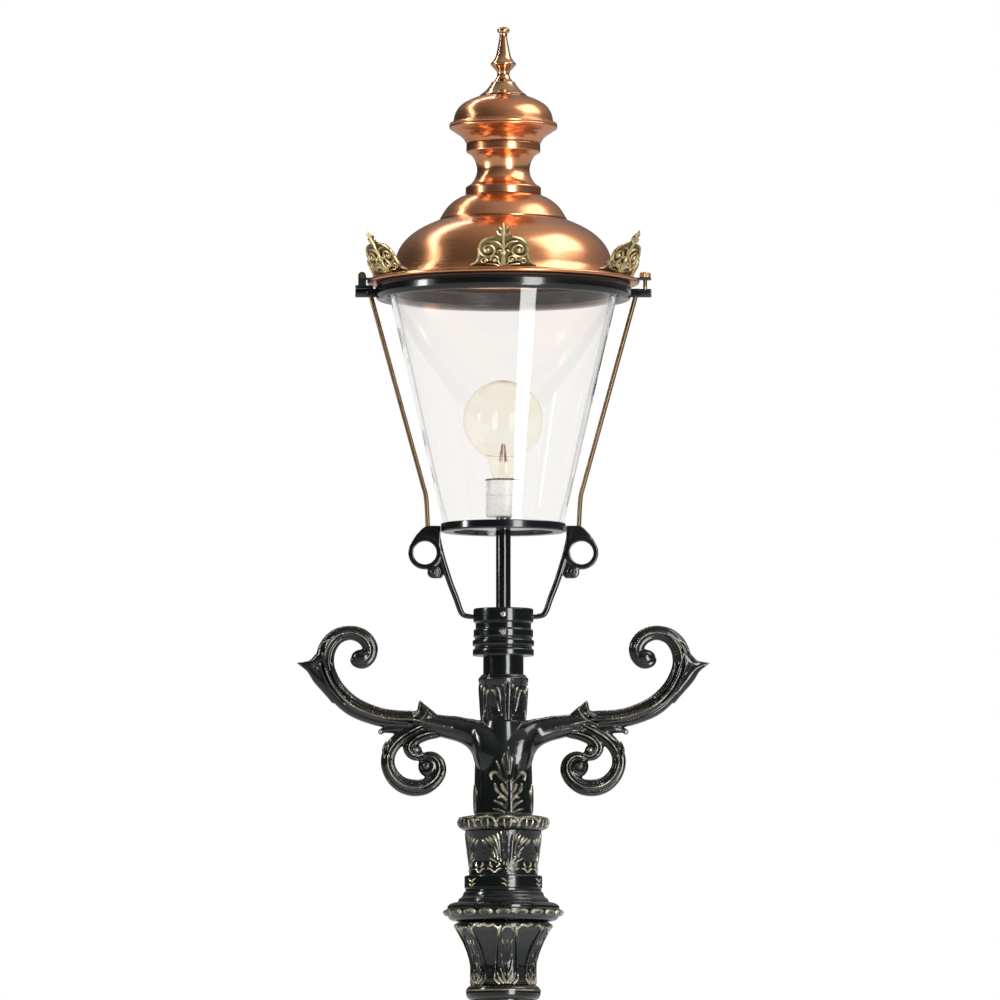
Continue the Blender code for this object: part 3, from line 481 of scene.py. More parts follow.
def applied(helper):
    """The mesh of this object with its modifiers applied. The object is then removed."""
    graph = bpy.context.evaluated_depsgraph_get()
    made = bpy.data.meshes.new_from_object(helper.evaluated_get(graph))
    bpy.data.objects.remove(helper)
    return made


def fused(mesh, voxel, relax):
    """The mesh remade as one skin round all its solids, as if cast in one piece."""
    helper = added("fuse_helper", mesh)
    remesh = helper.modifiers.new("remesh", "REMESH")
    remesh.mode = "VOXEL"
    remesh.voxel_size = voxel
    smooth = helper.modifiers.new("smooth", "SMOOTH")
    smooth.factor = 0.5
    smooth.iterations = relax
    return applied(helper)


def cut(mesh, *cutters):
    """The mesh with each cutter's solid taken away."""
    helper = added("cut_helper", mesh)
    tools = [added("cut_tool", cutter) for cutter in cutters]
    for tool in tools:
        modifier = helper.modifiers.new("cut", "BOOLEAN")
        modifier.operation = "DIFFERENCE"
        modifier.object = tool
    made = applied(helper)
    for tool in tools:
        bpy.data.objects.remove(tool)
    return made


def mark_relief(mesh, size=0.0015, quiet=(0.0, 0.0)):
    """Stores how far each point stands out from its neighbours, which the paint turns into gilt and painted
    highlight and the brass into painted highlight and painted shade.
    Between the two quiet heights, nothing near the axis counts as standing out."""
    count = len(mesh.vertices)
    points = np.empty(count * 3, np.float32)
    normals = np.empty(count * 3, np.float32)
    edges = np.empty(len(mesh.edges) * 2, np.int32)
    mesh.vertices.foreach_get("co", points)
    mesh.vertices.foreach_get("normal", normals)
    mesh.edges.foreach_get("vertices", edges)
    points, normals, edges = points.reshape(-1, 3), normals.reshape(-1, 3), edges.reshape(-1, 2)
    ends, others = np.concatenate([edges, edges[:, ::-1]]).T
    degree = np.maximum(np.bincount(ends, minlength=count), 1)

    def neighbours_mean(values):
        return np.bincount(ends, weights=values, minlength=count) / degree

    mean_length = neighbours_mean(np.linalg.norm(points[ends] - points[others], axis=1))
    mean = np.stack([neighbours_mean(points[others, k]) for k in range(3)], axis=1)
    bulge = ((points - mean) * normals).sum(axis=1)
    value = 2 * bulge / np.maximum(mean_length, 1e-5) ** 2 * size
    for _ in range(2):
        value = 0.5 * value + 0.5 * neighbours_mean(value[others])
    on_post = np.hypot(points[:, 0], points[:, 1]) < POST_REACH
    value[on_post & (points[:, 2] > quiet[0]) & (points[:, 2] < quiet[1])] = 0
    attribute = mesh.attributes.new("relief", "FLOAT", "POINT")
    attribute.data.foreach_set("value", np.clip(0.5 + value, 0, 1).astype(np.float32))


def add_piece(name, mesh, look, body, nodes=(), sharp=38):
    """Puts a mesh in the scene on this body, in place of these CAD nodes. Edges that turn by more
    than sharp degrees stay crisp."""
    piece = added(name, mesh)
    mesh.materials.append(LOOKS[look])
    mesh.shade_smooth()
    mesh.set_sharp_from_angle(angle=math.radians(sharp))
    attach(piece, body)
    if nodes:
        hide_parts(*nodes)


def add_leafy(name, mesh, nodes):
    """A piece of the post whose surface is rough with small cast foliage."""
    add_piece(name, mesh, "foliage_casting", "post", nodes)


# ---------------------------------------------------------------- relief patterns
def ease(low, high, value):
    t = np.clip((value - low) / (high - low), 0, 1)
    return t * t * (3 - 2 * t)


def repeated(angle, count, phase=0.0):
    """The angle's place in its own share of the circle, from -1 to 1, with 0 at the middle of the share."""
    turns = (angle - phase) * count / (2 * np.pi)
    return 2 * (turns - np.round(turns))


def leaf(across, along, lobes=4.0, slant=0.9, stem=0.13):
    """Height from 0 to 1 of a carved leaf: across runs from -1 to 1, along from root at 0 to tip at 1."""
    inside = np.clip(along, 0, 1)
    width = np.sin(np.pi * inside**0.75) ** 0.65 * (0.8 + 0.2 * np.abs(np.sin(np.pi * lobes * inside)))
    side = np.abs(across) / np.maximum(width, 1e-3)
    body = (1 - ease(0.82, 1.02, side)) * ease(0.0, 0.04, along) * (1 - ease(0.97, 1.0, along))
    veins = 0.5 + 0.5 * np.cos(2 * np.pi * (lobes * inside - slant * side))
    middle = np.exp(-((side / stem) ** 2))
    curl = ease(0.65, 0.95, along)
    return body * (0.22 + 0.42 * veins * (1 - middle) + 0.42 * middle + 0.3 * curl)


def leaf_ring(angle, height, low, high, count, fill=1.0, phase=FRONT, **shape):
    across = repeated(angle, count, phase) / fill
    return leaf(across, (height - low) / (high - low), **shape)


# ---------------------------------------------------------------- ornament on turned surfaces
def frond(stations, depth=1.0, steps=5, sides=8):
    """A tapering rib along (across, up, half width) stations, to lie half sunk in a surface."""
    return flat_sweep("frond", stations, round_section(sides), steps, (depth, depth))


def both_sides(build, stations, **shape):
    """The rib and its mirror image."""
    mirrored = [(-u, v, half) for u, v, half in stations]
    return [build(stations, **shape), build(mirrored, **shape)]


def wrapped(mesh, azimuth, radius_at, base=0.0, raise_by=0.0):
    """Lays a flat pattern (x along, y inward, z up) round a turned surface at this azimuth."""
    for vertex in mesh.vertices:
        along, inward, up = vertex.co
        surface = radius_at(up)
        angle = azimuth + along / surface
        reach = surface + raise_by - inward
        vertex.co = (reach * math.cos(angle), reach * math.sin(angle), base + up)
    return mesh


def surface_of(outline):
    """The radius of an outline's outer side at a height."""
    points = sorted((z, r) for r, z in outline)
    heights, radii = zip(*points)
    return lambda height: float(np.interp(height, heights, radii))


def ring_of(build, count, radius_at, base=0.0, phase=FRONT, raise_by=0.0):
    """A pattern repeated round the post."""
    azimuths = [phase + 2 * math.pi * k / count for k in range(count)]
    return [wrapped(build(), azimuth, radius_at, base, raise_by) for azimuth in azimuths]


def spiral(centre, turn_start, turns, radius_start, radius_end, half_start, half_end, count=22):
    """Stations of a spiral; turns is negative to run clockwise."""
    out = []
    for t in np.linspace(0, 1, count):
        angle = turn_start + 2 * math.pi * turns * t
        radius = radius_start + (radius_end - radius_start) * t
        half = half_start + (half_end - half_start) * t
        out.append((centre[0] + radius * math.cos(angle), centre[1] + radius * math.sin(angle), half))
    return out


# ---------------------------------------------------------------- base, vase and shaft
def octagon_share(angle):
    """How much further out an octagon with a flat to the front reaches at this angle, corners softened."""
    from_flat = np.abs(repeated(angle, 8, FRONT)) * math.pi / 8
    return 1 / np.cos(from_flat) - 0.01 * ease(0.33, math.pi / 8, from_flat)


def add_plinth():
    outline = rounded([
        (0.115, 0.0), (0.19, 0.0), (0.19, 0.016, 0.003), (0.187, 0.02, 0.002), (0.144, 0.022, 0.004),
        (0.142, 0.06, 0.004), (0.138, 0.066, 0.004), (0.132, 0.09, 0.012), (0.125, 0.1, 0.004),
        (0.125, 0.56, 0.004), (0.132, 0.566, 0.004), (0.14, 0.58, 0.01), (0.143, 0.584, 0.002),
        (0.143, 0.6, 0.002), (0.138, 0.606, 0.003), (0.125, 0.6197), (0.0335, 0.6197), (0.0335, 0.6),
        (0.115, 0.6),
    ])
    around = 96
    angle = (2 * np.pi * np.arange(around) / around)[:, None]
    share = 1 + (octagon_share(angle) - 1) * ease(0.04, 0.1, outline[None, :, 0])
    radius = outline[None, :, 0] * share
    height = np.repeat(outline[None, :, 1], around, axis=0)
    points = np.stack([radius * np.cos(angle), radius * np.sin(angle), height], axis=2).reshape(-1, 3)
    mesh = mesh_from("plinth", points, grid_faces(around, len(outline)))
    door_hole = block("door_hole", (-0.0395, -0.15, 0.1995), (0.0395, -0.1, 0.5005), 0.002)
    cutters = [door_hole]
    for side in range(1, 8):
        turn = Matrix.Rotation(math.pi / 4 * side, 4, "Z")
        panel = block("panel", (-0.036, -0.14, 0.135), (0.036, -0.1215, 0.525), 0.0025)
        panel.transform(turn)
        cutters.append(panel)
    for side in range(4):
        hole = lathe("anchor_hole", [(0, -0.01), (0.009, -0.01), (0.009, 0.04), (0, 0.04)], 24)
        hole.transform(Matrix.Rotation(math.pi / 2 * side, 4, "Z") @ Matrix.Translation((0.1167, 0.1167, 0)))
        cutters.append(hole)
    mesh = cut(mesh, *cutters)
    add_piece("plinth", mesh, "post_casting", "post", ["base_plinth"], sharp=30)


def add_vase():
    level = 0.62
    outer = [
        (BORE, 0), (0.119, 0), (0.122, 0.008, 0.006), (0.117, 0.021, 0.006), (0.101, 0.028, 0.003),
        (0.106, 0.055, SMOOTH), (0.108, 0.08, SMOOTH), (0.104, 0.11, SMOOTH), (0.092, 0.145, SMOOTH),
        (0.078, 0.18, SMOOTH), (0.068, 0.215, SMOOTH), (0.064, 0.24, 0.006), (0.074, 0.248, 0.004),
        (0.076, 0.26, 0.008), (0.06, 0.2797, 0.004), (BORE, 0.2797),
    ]
    outline = densified(rounded(outer), 0.004, 0.05) + [0, level]

    def carved(angle, radius, height):
        leaves = leaf_ring(angle, height, level + 0.03, level + 0.17, 8, lobes=5.0)
        between = leaf_ring(angle, height, level + 0.035, level + 0.13, 8, 0.7, FRONT + math.pi / 8)
        return 0.0045 * np.maximum(leaves, 0.6 * between) * (radius > 0.05)

    mesh = lathe("vase", outline, 320, carved)
    mark_relief(mesh)
    add_piece("vase", mesh, "post_casting", "post", ["base_vase"])


def add_shaft():
    level, top = 0.9, 1.1397
    outer = [
        (BORE, 0), (0.056, 0), (0.056, 0.058, 0.001), (0.0556, 0.066, 0.001), (0.0505, 0.56),
        (0.0472, 1.074, 0.001), (0.0475, 1.082, 0.001), (0.0475, top), (BORE, top),
    ]
    outline = densified(rounded(outer), 0.005, 0.045) + [0, level]
    flutes, half_share, depth = 12, 0.8, 0.0042
    flute_low, flute_high, round_end = level + 0.085, level + 1.055, 0.011

    def fluted(angle, radius, height):
        past = np.maximum(flute_low - height, height - flute_high)
        along = np.maximum(past, 0) / round_end
        across = repeated(angle, flutes, FRONT) / half_share
        inside = np.maximum(1 - across**2 - along**2, 0)
        return -depth * np.sqrt(inside) * (radius > 0.045)

    mesh = lathe("shaft", outline, 240, fluted)
    mark_relief(mesh)
    add_piece("fluted_shaft", mesh, "post_casting", "post", ["shaft"])


# ---------------------------------------------------------------- castings under the arms
def add_capital():
    ring = rounded([
        (BORE, 2.04), (0.05, 2.04), (0.0545, 2.0435, SMOOTH), (0.056, 2.0505, SMOOTH),
        (0.0545, 2.0575, SMOOTH), (0.05, 2.061), (BORE, 2.061),
    ])
    line_section = [(0.054, 2.052), (0.0562, 2.0528), (0.0562, 2.0545), (0.054, 2.0553)]
    mesh = joined("astragal", [lathe("astragal", ring, 96), lathe("line", rounded(line_section), 96)])
    mark_relief(mesh, 0.0018)
    add_piece("astragal", mesh, "post_casting", "post", ["astragal_ring"])

    level = 2.0613
    side = [
        (0.049, 0), (0.0485, 0.028), (0.0502, 0.038), (0.0538, 0.05), (0.0598, 0.064), (0.0668, 0.076),
        (0.0715, 0.084), (0.0715, 0.09), (0.069, 0.0945),
    ]
    outer = [(r, z, SMOOTH) for r, z in side]
    outline = densified(rounded([(BORE, 0), *outer, (BORE, 0.0945)]), 0.0022, 0.045) + [0, level]
    surface = surface_of(side)
    slim_at = FRONT + LEAF_TURN
    broad_at = slim_at + math.pi / 6

    def hollowed(angle, radius, height):
        along = (height - level) / 0.09
        across = repeated(angle, 6, broad_at)
        width = 0.46 + 0.3 * along
        hollow = np.maximum(1 - (across / width) ** 2, 0) * ease(0.1, 0.35, along) * ease(1.02, 0.86, along)
        return -0.0034 * hollow * (radius > 0.045)

    def broad_leaf():
        """The two turned-over edges of a broad leaf, and the curl at their top."""
        ribs = both_sides(frond, [
            (0.0075, 0.012, 0.001), (0.0095, 0.035, 0.0012), (0.0135, 0.055, 0.0014), (0.019, 0.07, 0.0016),
            (0.0225, 0.079, 0.0018), (0.0215, 0.085, 0.0016),
        ])
        ribs += both_sides(frond, [
            (0.0215, 0.084, 0.0015), (0.015, 0.0885, 0.0021), (0.007, 0.087, 0.0022), (0.0, 0.09, 0.0026),
        ])
        return joined("broad_leaf", ribs)

    def slim_leaf():
        """An arched leaf between two broad ones, with a cluster of small leaves at its foot."""
        ribs = [frond([(0, 0.002, 0.0022), (0, 0.022, 0.0018), (0, 0.046, 0.0014), (0, 0.066, 0.0007)])]
        for line in (
            [(0.0, 0.086, 0.0015), (0.006, 0.0845, 0.0017), (0.0085, 0.077, 0.0015), (0.007, 0.064, 0.0008)],
            [(0.0006, 0.03, 0.0014), (0.004, 0.046, 0.0015), (0.0065, 0.064, 0.0007)],
            [(0.001, 0.014, 0.0014), (0.006, 0.028, 0.0017), (0.008, 0.046, 0.0007)],
            [(0.001, 0.003, 0.0018), (0.005, 0.012, 0.0021), (0.009, 0.024, 0.0008)],
            [(0.004, 0.002, 0.0018), (0.01, 0.008, 0.002), (0.014, 0.018, 0.0008)],
            [(0.01, 0.001, 0.0014), (0.015, 0.005, 0.0018), (0.019, 0.011, 0.0007)],
            [(0.01, 0.088, 0.001), (0.0125, 0.084, 0.0019), (0.012, 0.078, 0.0008)],
        ):
            ribs += both_sides(frond, line)
        return joined("slim_leaf", ribs)

    parts = ring_of(broad_leaf, 6, surface, level, broad_at)
    parts += ring_of(slim_leaf, 6, surface, level, slim_at, -0.0002)
    mesh = joined("capital", [lathe("capital_body", outline, 240, hollowed), *parts])
    mark_relief(mesh)
    add_leafy("capital", mesh, ["tulip_capital"])


def add_egg_ring():
    level, height, eggs = 2.1563, 0.0297, 20
    side = [(0.07, 0), (0.0825, 0.0035), (0.087, 0.015), (0.0825, 0.026), (0.07, 0.0297)]
    outer = [(r, z, SMOOTH) for r, z in side]
    outline = densified(rounded([(BORE, 0), *outer, (BORE, height)]), 0.003, 0.06) + [0, level]

    def grooved(angle, radius, level_at):
        """A groove above the eggs and one below them."""
        from_middle = np.abs(level_at - level - 0.013)
        return -0.0016 * np.exp(-(((from_middle - 0.0072) / 0.0013) ** 2)) * (radius > 0.06)

    def egg():
        return ball("egg", (0, 0.0006, 0.013), (0.0114, 0.0042, 0.005))

    parts = ring_of(egg, eggs, surface_of(side), level)
    mesh = joined("egg_ring", [lathe("egg_torus", outline, 160, grooved), *parts])
    mark_relief(mesh, 0.0022)
    add_piece("egg_moulding", mesh, "post_casting", "post", ["egg_ring"])


def add_band():
    level = 2.1863
    outline = rounded([
        (BORE, 0), (0.068, 0), (0.0665, 0.004, 0.002), (0.061, 0.0075, 0.004), (0.0595, 0.0135, 0.002),
        (0.0565, 0.0155, 0.001), (0.0565, 0.019, 0.001), (0.058, 0.02, 0.0008), (0.058, 0.0375, 0.0012),
        (0.056, 0.0387), (BORE, 0.0387),
    ]) + [0, level]

    def sprig():
        """Small curled leaves on the flat of the band."""
        ribs = []
        for line in (
            [(0.001, 0.0215, 0.0008), (0.004, 0.025, 0.0013), (0.0085, 0.0255, 0.0006)],
            [(0.001, 0.028, 0.0008), (0.0045, 0.0315, 0.0014), (0.0095, 0.0335, 0.0006)],
        ):
            ribs += both_sides(frond, line)
        return joined("sprig", ribs)

    parts = ring_of(sprig, 6, lambda up: 0.058, level, FRONT + LEAF_TURN)
    mesh = joined("band", [lathe("band_body", outline, 128), *parts])
    mark_relief(mesh)
    add_piece("band", mesh, "post_casting", "post", ["band_collar"])


def acanthus(height, half_width, root=0.0, side_ribs=3, bold=0.002):
    """An upright leaf: three ribs up the middle, and side ribs that fan out from it."""
    def build():
        spread = bold * 3.3
        parts = []
        for k in (-1, 0, 1):
            offset = k * spread
            parts.append(frond([
                (offset * 0.6, root, bold * 0.6), (offset * 0.8, root + 0.3 * height, bold),
                (offset, root + 0.72 * height, bold), (offset * 1.4, root + height, bold * 0.5),
            ]))
        room = half_width - spread * 1.2
        for k in range(side_ribs):
            share = (k + 1) / side_ribs
            low = root + height * (0.06 + 0.2 * (k % 2) + 0.16 * share)
            high = root + height * (0.98 - 0.22 * share)
            foot, tip = spread * 1.15 + room * 0.42 * share, spread * 1.3 + room * share
            parts += both_sides(frond, [
                (foot * 0.88, low, bold * 0.5), (foot * 1.02, low + (high - low) * 0.35, bold * 0.9),
                (tip * 0.84, low + (high - low) * 0.8, bold * 1.1), (tip, high, bold * 0.5),
            ])
            parts += both_sides(frond, [
                (foot * 0.95, low - height * 0.1, bold * 0.7), (foot * 1.25, low - height * 0.02, bold * 0.4),
            ])
        return joined("acanthus", parts)
    return build


def palmette(height, half_width, root=0.0, pairs=3, bold=0.0022):
    """An upright leaf of ribs that rise side by side from a narrow foot and curl outwards at the top."""
    def build():
        ribs = [frond([
            (0, root, bold * 0.7), (0, root + 0.35 * height, bold), (0, root + 0.8 * height, bold),
            (0, root + height, bold * 0.5),
        ], 1.3)]
        for k in range(1, pairs + 1):
            share = k / pairs
            tip = half_width * share
            low, high = root + height * 0.12 * (k - 1), root + height * (1 - 0.22 * share)
            rise = high - low
            ribs += both_sides(frond, [
                (tip * 0.55, low, bold * 0.6), (tip * 0.66, low + rise * 0.3, bold),
                (tip * 0.78, low + rise * 0.7, bold), (tip * 0.92, low + rise * 0.93, bold * 0.9),
                (tip * 1.08, high - 0.001, bold * 0.5),
            ], depth=1.3 - 0.2 * share)
        return joined("palmette", ribs)
    return build


def add_drum():
    level, height = 2.2253, 0.0657
    side = [(0.051, 0), (0.051, 0.02), (0.053, 0.04), (0.057, 0.0657)]
    outline = densified(rounded([(BORE, 0), *side, (BORE, height)]), 0.005, 0.045) + [0, level]
    surface = surface_of(side)
    broad = acanthus(0.049, 0.0385, 0.0145, 5)
    parts = ring_of(broad, 4, surface, level, FRONT + LEAF_TURN)

    def foot_leaf():
        """The small curls under the broad leaves."""
        ribs = both_sides(frond, [(0.001, 0.003, 0.0014), (0.006, 0.008, 0.0015), (0.011, 0.0085, 0.0006)])
        ribs += both_sides(frond, [(0.003, 0.011, 0.001), (0.007, 0.0145, 0.0015), (0.006, 0.0185, 0.0007)])
        return joined("foot_leaf", ribs)

    parts += ring_of(foot_leaf, 12, surface, level, FRONT + math.pi / 12)
    mesh = joined("drum", [lathe("drum_body", outline, 128), *parts])
    mark_relief(mesh)
    add_leafy("drum", mesh, ["leaf_drum"])


def add_petal_ring():
    level, height, petals = 2.2913, 0.0237, 12
    side = [(0.058, 0), (0.066, 0.006), (0.0685, 0.014), (0.064, 0.0205), (0.05, 0.0237)]
    outer = [(r, z, SMOOTH) for r, z in side]
    outline = densified(rounded([(BORE, 0), *outer, (BORE, height)]), 0.003, 0.05) + [0, level]

    def petal():
        """One turned-over leaf tip: its curled lip, and two veins under it."""
        lip = [(0.0155, 0.004, 0.001), (0.0165, 0.012, 0.0015), (0.01, 0.019, 0.002), (0.0, 0.0205, 0.0024)]
        vein = [(0.003, 0.003, 0.0008), (0.0055, 0.01, 0.0013), (0.005, 0.0165, 0.0007)]
        return joined("petal", both_sides(frond, lip) + both_sides(frond, vein))

    parts = ring_of(petal, petals, surface_of(side), level, FRONT + LEAF_TURN)
    mesh = joined("petal_ring", [lathe("petal_body", outline, 128), *parts])
    mark_relief(mesh)
    add_leafy("petal_ring", mesh, ["bead_ring"])


# ---------------------------------------------------------------- hub and scroll arms
MAIN_ARM = [
    (0.077, 2.4455, 0.017), (0.101, 2.45, 0.0158), (0.133, 2.4575, 0.0138), (0.163, 2.459, 0.0139),
    (0.19, 2.4635, 0.0143), (0.226, 2.479, 0.015), (0.252, 2.505, 0.0144), (0.2655, 2.536, 0.0138),
    (0.264, 2.562, 0.0138), (0.25, 2.5815, 0.0122), (0.229, 2.588, 0.011), (0.21, 2.582, 0.0116),
    (0.1995, 2.568, 0.0116), (0.2, 2.554, 0.0108), (0.209, 2.5455, 0.0112), (0.219, 2.5475, 0.0108),
    (0.224, 2.553, 0.0062),
]
C_SCROLL = [
    (0.108, 2.453, 0.007), (0.118, 2.45, 0.009), (0.133, 2.443, 0.0105), (0.15, 2.433, 0.0108),
    (0.164, 2.42, 0.0106), (0.1715, 2.405, 0.0104), (0.172, 2.389, 0.0106), (0.1655, 2.374, 0.0112),
    (0.153, 2.362, 0.012), (0.137, 2.3565, 0.0127), (0.119, 2.3575, 0.0122), (0.104, 2.3667, 0.0112),
    (0.0955, 2.38, 0.0104), (0.0965, 2.3935, 0.0094), (0.1045, 2.402, 0.0082), (0.115, 2.403, 0.007),
    (0.123, 2.397, 0.0048),
]
WEB = [
    (0.0, 2.4, 0.057), (0.02, 2.4045, 0.053), (0.032, 2.4105, 0.047), (0.04, 2.4205, 0.0375),
    (0.046, 2.432, 0.0275), (0.055, 2.439, 0.0215), (0.07, 2.4445, 0.019), (0.09, 2.448, 0.017),
    (0.115, 2.4535, 0.0145),
]
INNER_CURL = [
    (0.083, 2.447, 0.0055), (0.0967, 2.44, 0.0085), (0.115, 2.4365, 0.0098), (0.132, 2.429, 0.0102),
    (0.1405, 2.4175, 0.0096), (0.137, 2.4075, 0.0084), (0.128, 2.4035, 0.0072), (0.119, 2.407, 0.0058),
]
SPUR = [
    (0.25, 2.485, 0.006), (0.262, 2.505, 0.01), (0.276, 2.521, 0.01), (0.29, 2.535, 0.006),
    (0.309, 2.543, 0.0008),
]
SPUR_TOP = [(0.26, 2.562, 0.009), (0.274, 2.549, 0.01), (0.289, 2.542, 0.0052), (0.3085, 2.5432, 0.0006)]
BUD = [(0.115, 2.46, 0.017), (0.119, 2.47, 0.0115), (0.1225, 2.479, 0.0058), (0.1251, 2.4875, 0.0008)]
BUD_CUP = [(0.136, 2.464, 0.004), (0.128, 2.468, 0.0042), (0.118, 2.4665, 0.004), (0.108, 2.459, 0.003)]
TAIL_LEAF = [(0.146, 2.445, 0.005), (0.163, 2.444, 0.0062), (0.177, 2.4425, 0.0045), (0.185, 2.4395, 0.001)]


def arm_parts(side):
    """The bars of one scroll arm; side is 1 for the right and -1 for the left."""
    ribbed = ribbed_section()
    plain = round_section(18)
    parts = [
        flat_sweep("main_arm", MAIN_ARM, ribbed_section(0.22, 0.16, 0.13, 0.4), 7, (0.9, 0.9), side),
        flat_sweep("web", WEB, round_section(32, 0.95), 7, (0.72, 0.88), side, upright=True),
        flat_sweep("c_scroll", C_SCROLL, ribbed, 7, (1.05, 1.0), side),
        flat_sweep("inner_curl", INNER_CURL, ribbed, 7, (1.1, 1.1), side),
        flat_sweep("spur", SPUR, plain, 7, (1.0, 1.0), side),
        flat_sweep("spur_top", SPUR_TOP, plain, 7, (0.9, 0.9), side),
        flat_sweep("bud", BUD, plain, 7, (0.8, 1.2), side),
        flat_sweep("bud_cup", BUD_CUP, plain, 7, (2.6, 2.6), side),
        flat_sweep("tail_leaf", TAIL_LEAF, plain, 7, (1.4, 1.4), side),
        ball("arm_eye", (side * 0.211, 0, 2.5515), (0.0165, 0.012, 0.012), 24),
        ball("scroll_bowl", (side * 0.111, 0, 2.3885), (0.0165, 0.008, 0.017), 24),
        ball("scroll_eye", (side * 0.1145, 0, 2.3885), (0.0102, 0.015, 0.0095), 24),
        ball("curl_eye", (side * 0.13, 0, 2.4125), (0.0085, 0.0125, 0.008), 20),
        ball("tail_knob", (side * 0.183, 0, 2.44), (0.0042, 0.007, 0.0046), 16),
    ]
    return parts


def arm_leaves(side):
    """Raised leaf ribs on the front and back of one arm, as (x, z, half width) lines at a depth."""
    lines = [
        [(0.27, 2.556, 0.0022), (0.264, 2.536, 0.0026), (0.254, 2.512, 0.0024), (0.236, 2.49, 0.0012)],
        [(0.274, 2.542, 0.0014), (0.269, 2.524, 0.0022), (0.256, 2.501, 0.002), (0.236, 2.48, 0.001)],
        [(0.256, 2.542, 0.001), (0.254, 2.525, 0.0018), (0.244, 2.506, 0.002), (0.225, 2.49, 0.001)],
        [(0.2765, 2.56, 0.001), (0.272, 2.57, 0.0022), (0.264, 2.576, 0.0012)],
        [(0.266, 2.564, 0.0014), (0.262, 2.574, 0.0022), (0.254, 2.58, 0.001)],
        [(0.112, 2.474, 0.0006), (0.117, 2.464, 0.0022), (0.126, 2.456, 0.002), (0.142, 2.45, 0.0008)],
        [(0.124, 2.48, 0.0006), (0.127, 2.469, 0.002), (0.134, 2.462, 0.001)],
        [(0.175, 2.426, 0.0008), (0.179, 2.412, 0.0022), (0.177, 2.4, 0.0008)],
        [(0.168, 2.428, 0.0008), (0.172, 2.415, 0.0022), (0.17, 2.402, 0.0008)],
        [(0.089, 2.448, 0.0016), (0.105, 2.446, 0.0018), (0.123, 2.443, 0.0008)],
    ]
    out = []
    for face in (-1, 1):
        for line in lines:
            rib = flat_sweep("leaf_rib", line, round_section(8), 5, (1.4, 1.4), side)
            rib.transform(Matrix.Translation((0, face * 0.0108, 0)))
            out.append(rib)
    return out


def add_cross_arm():
    level, height = 2.3153, 0.1407
    side_points = [
        (0.043, 0), (0.0432, 0.05), (0.0425, 0.08), (0.039, 0.105), (0.035, 0.125), (0.0325, height),
    ]
    outer = [(r, z, 0.012) for r, z in side_points[1:-1]]
    outline = rounded([(0.025, 0), side_points[0], *outer, side_points[-1], (0.025, height)]) + [0, level]
    solid = lathe("hub", densified(outline, 0.004), 96)
    parts = [solid]
    for side in (1, -1):
        parts += arm_parts(side)
    mesh = fused(joined("cross_arm", parts), 0.00125, 3)
    bore = lathe("bore", [(0, 2.3), (BORE, 2.3), (BORE, 2.47), (0, 2.47)], 64)
    mesh = cut(mesh, bore)

    surface = surface_of(side_points)

    def hub_leaf():
        """A spear over two volutes, with a bunch of small lobes at its foot."""
        ribs = [
            frond([(0, 0.06, 0.0018), (0, 0.074, 0.004), (0, 0.088, 0.003), (0, 0.101, 0.0006)], 1.1),
            frond([(0, 0.002, 0.003), (0.0006, 0.03, 0.0022), (0, 0.062, 0.0018)], 1.3),
        ]
        for line in (
            [(0.0015, 0.048, 0.0016), (0.006, 0.066, 0.0024), (0.009, 0.08, 0.0022), (0.006, 0.091, 0.0008)],
            [(0.004, 0.046, 0.0014), (0.0125, 0.056, 0.0026), (0.015, 0.07, 0.0024), (0.019, 0.079, 0.001)],
            [(0.0125, 0.054, 0.0018), (0.02, 0.062, 0.003), (0.0275, 0.059, 0.003), (0.0255, 0.051, 0.0018)],
            [(0.002, 0.03, 0.0016), (0.0085, 0.037, 0.003), (0.0115, 0.045, 0.0024)],
            [(0.011, 0.028, 0.0014), (0.0185, 0.036, 0.003), (0.0215, 0.046, 0.0016)],
            [(0.004, 0.02, 0.0016), (0.01, 0.026, 0.003), (0.0165, 0.024, 0.0012)],
            [(0.005, 0.008, 0.0016), (0.012, 0.015, 0.0028), (0.022, 0.02, 0.0016)],
            [(0.006, 0.002, 0.0016), (0.015, 0.006, 0.0024), (0.024, 0.008, 0.001)],
        ):
            ribs += both_sides(frond, line, depth=1.2)
        return joined("hub_leaf", ribs)

    leaves = ring_of(hub_leaf, 2, surface, level, FRONT + 2 * LEAF_TURN)
    quarter = FRONT + math.pi / 2
    leaves += ring_of(acanthus(0.044, 0.019, 0.002), 2, surface, level, quarter)
    for side in (1, -1):
        leaves += arm_leaves(side)
    mesh = joined("cross_arm", [mesh, *leaves])
    mark_relief(mesh, 0.0012, quiet=(2.445, 2.46))
    add_piece("scroll_arms", mesh, "post_casting", "post", ["cross_arm"], sharp=50)


def add_sleeve():
    level, height = 2.4563, 0.0687
    side = [(0.0322, 0), (0.0328, 0.02), (0.035, 0.052)]
    outline = rounded([
        (BORE, 0), side[0], side[1], side[2], (0.0372, 0.059, 0.002), (0.0376, 0.063, 0.002),
        (0.0345, 0.066, 0.002), (0.033, height, 0.001), (BORE, height),
    ]) + [0, level]
    parts = ring_of(palmette(0.059, 0.023, -0.001), 4, surface_of(side), level, FRONT + 2 * LEAF_TURN)
    mesh = joined("sleeve", [lathe("sleeve_body", outline, 96), *parts])
    mark_relief(mesh, 0.0009, quiet=(2.45, 2.46))
    add_leafy("leaf_socket", mesh, ["leaf_sleeve"])

    tube = rounded([
        (0.0265, 0.588), (0.07, 0.588), (0.07, 0.5992), (0.03015, 0.5992), (0.03015, 2.6094, 0.0008),
        (0.0265, 2.6094, 0.0008),
    ])
    mesh = lathe("tube", tube, 96)
    mark_relief(mesh)
    add_piece("painted_tube", mesh, "lantern_casting", "post", ["core_tube"])


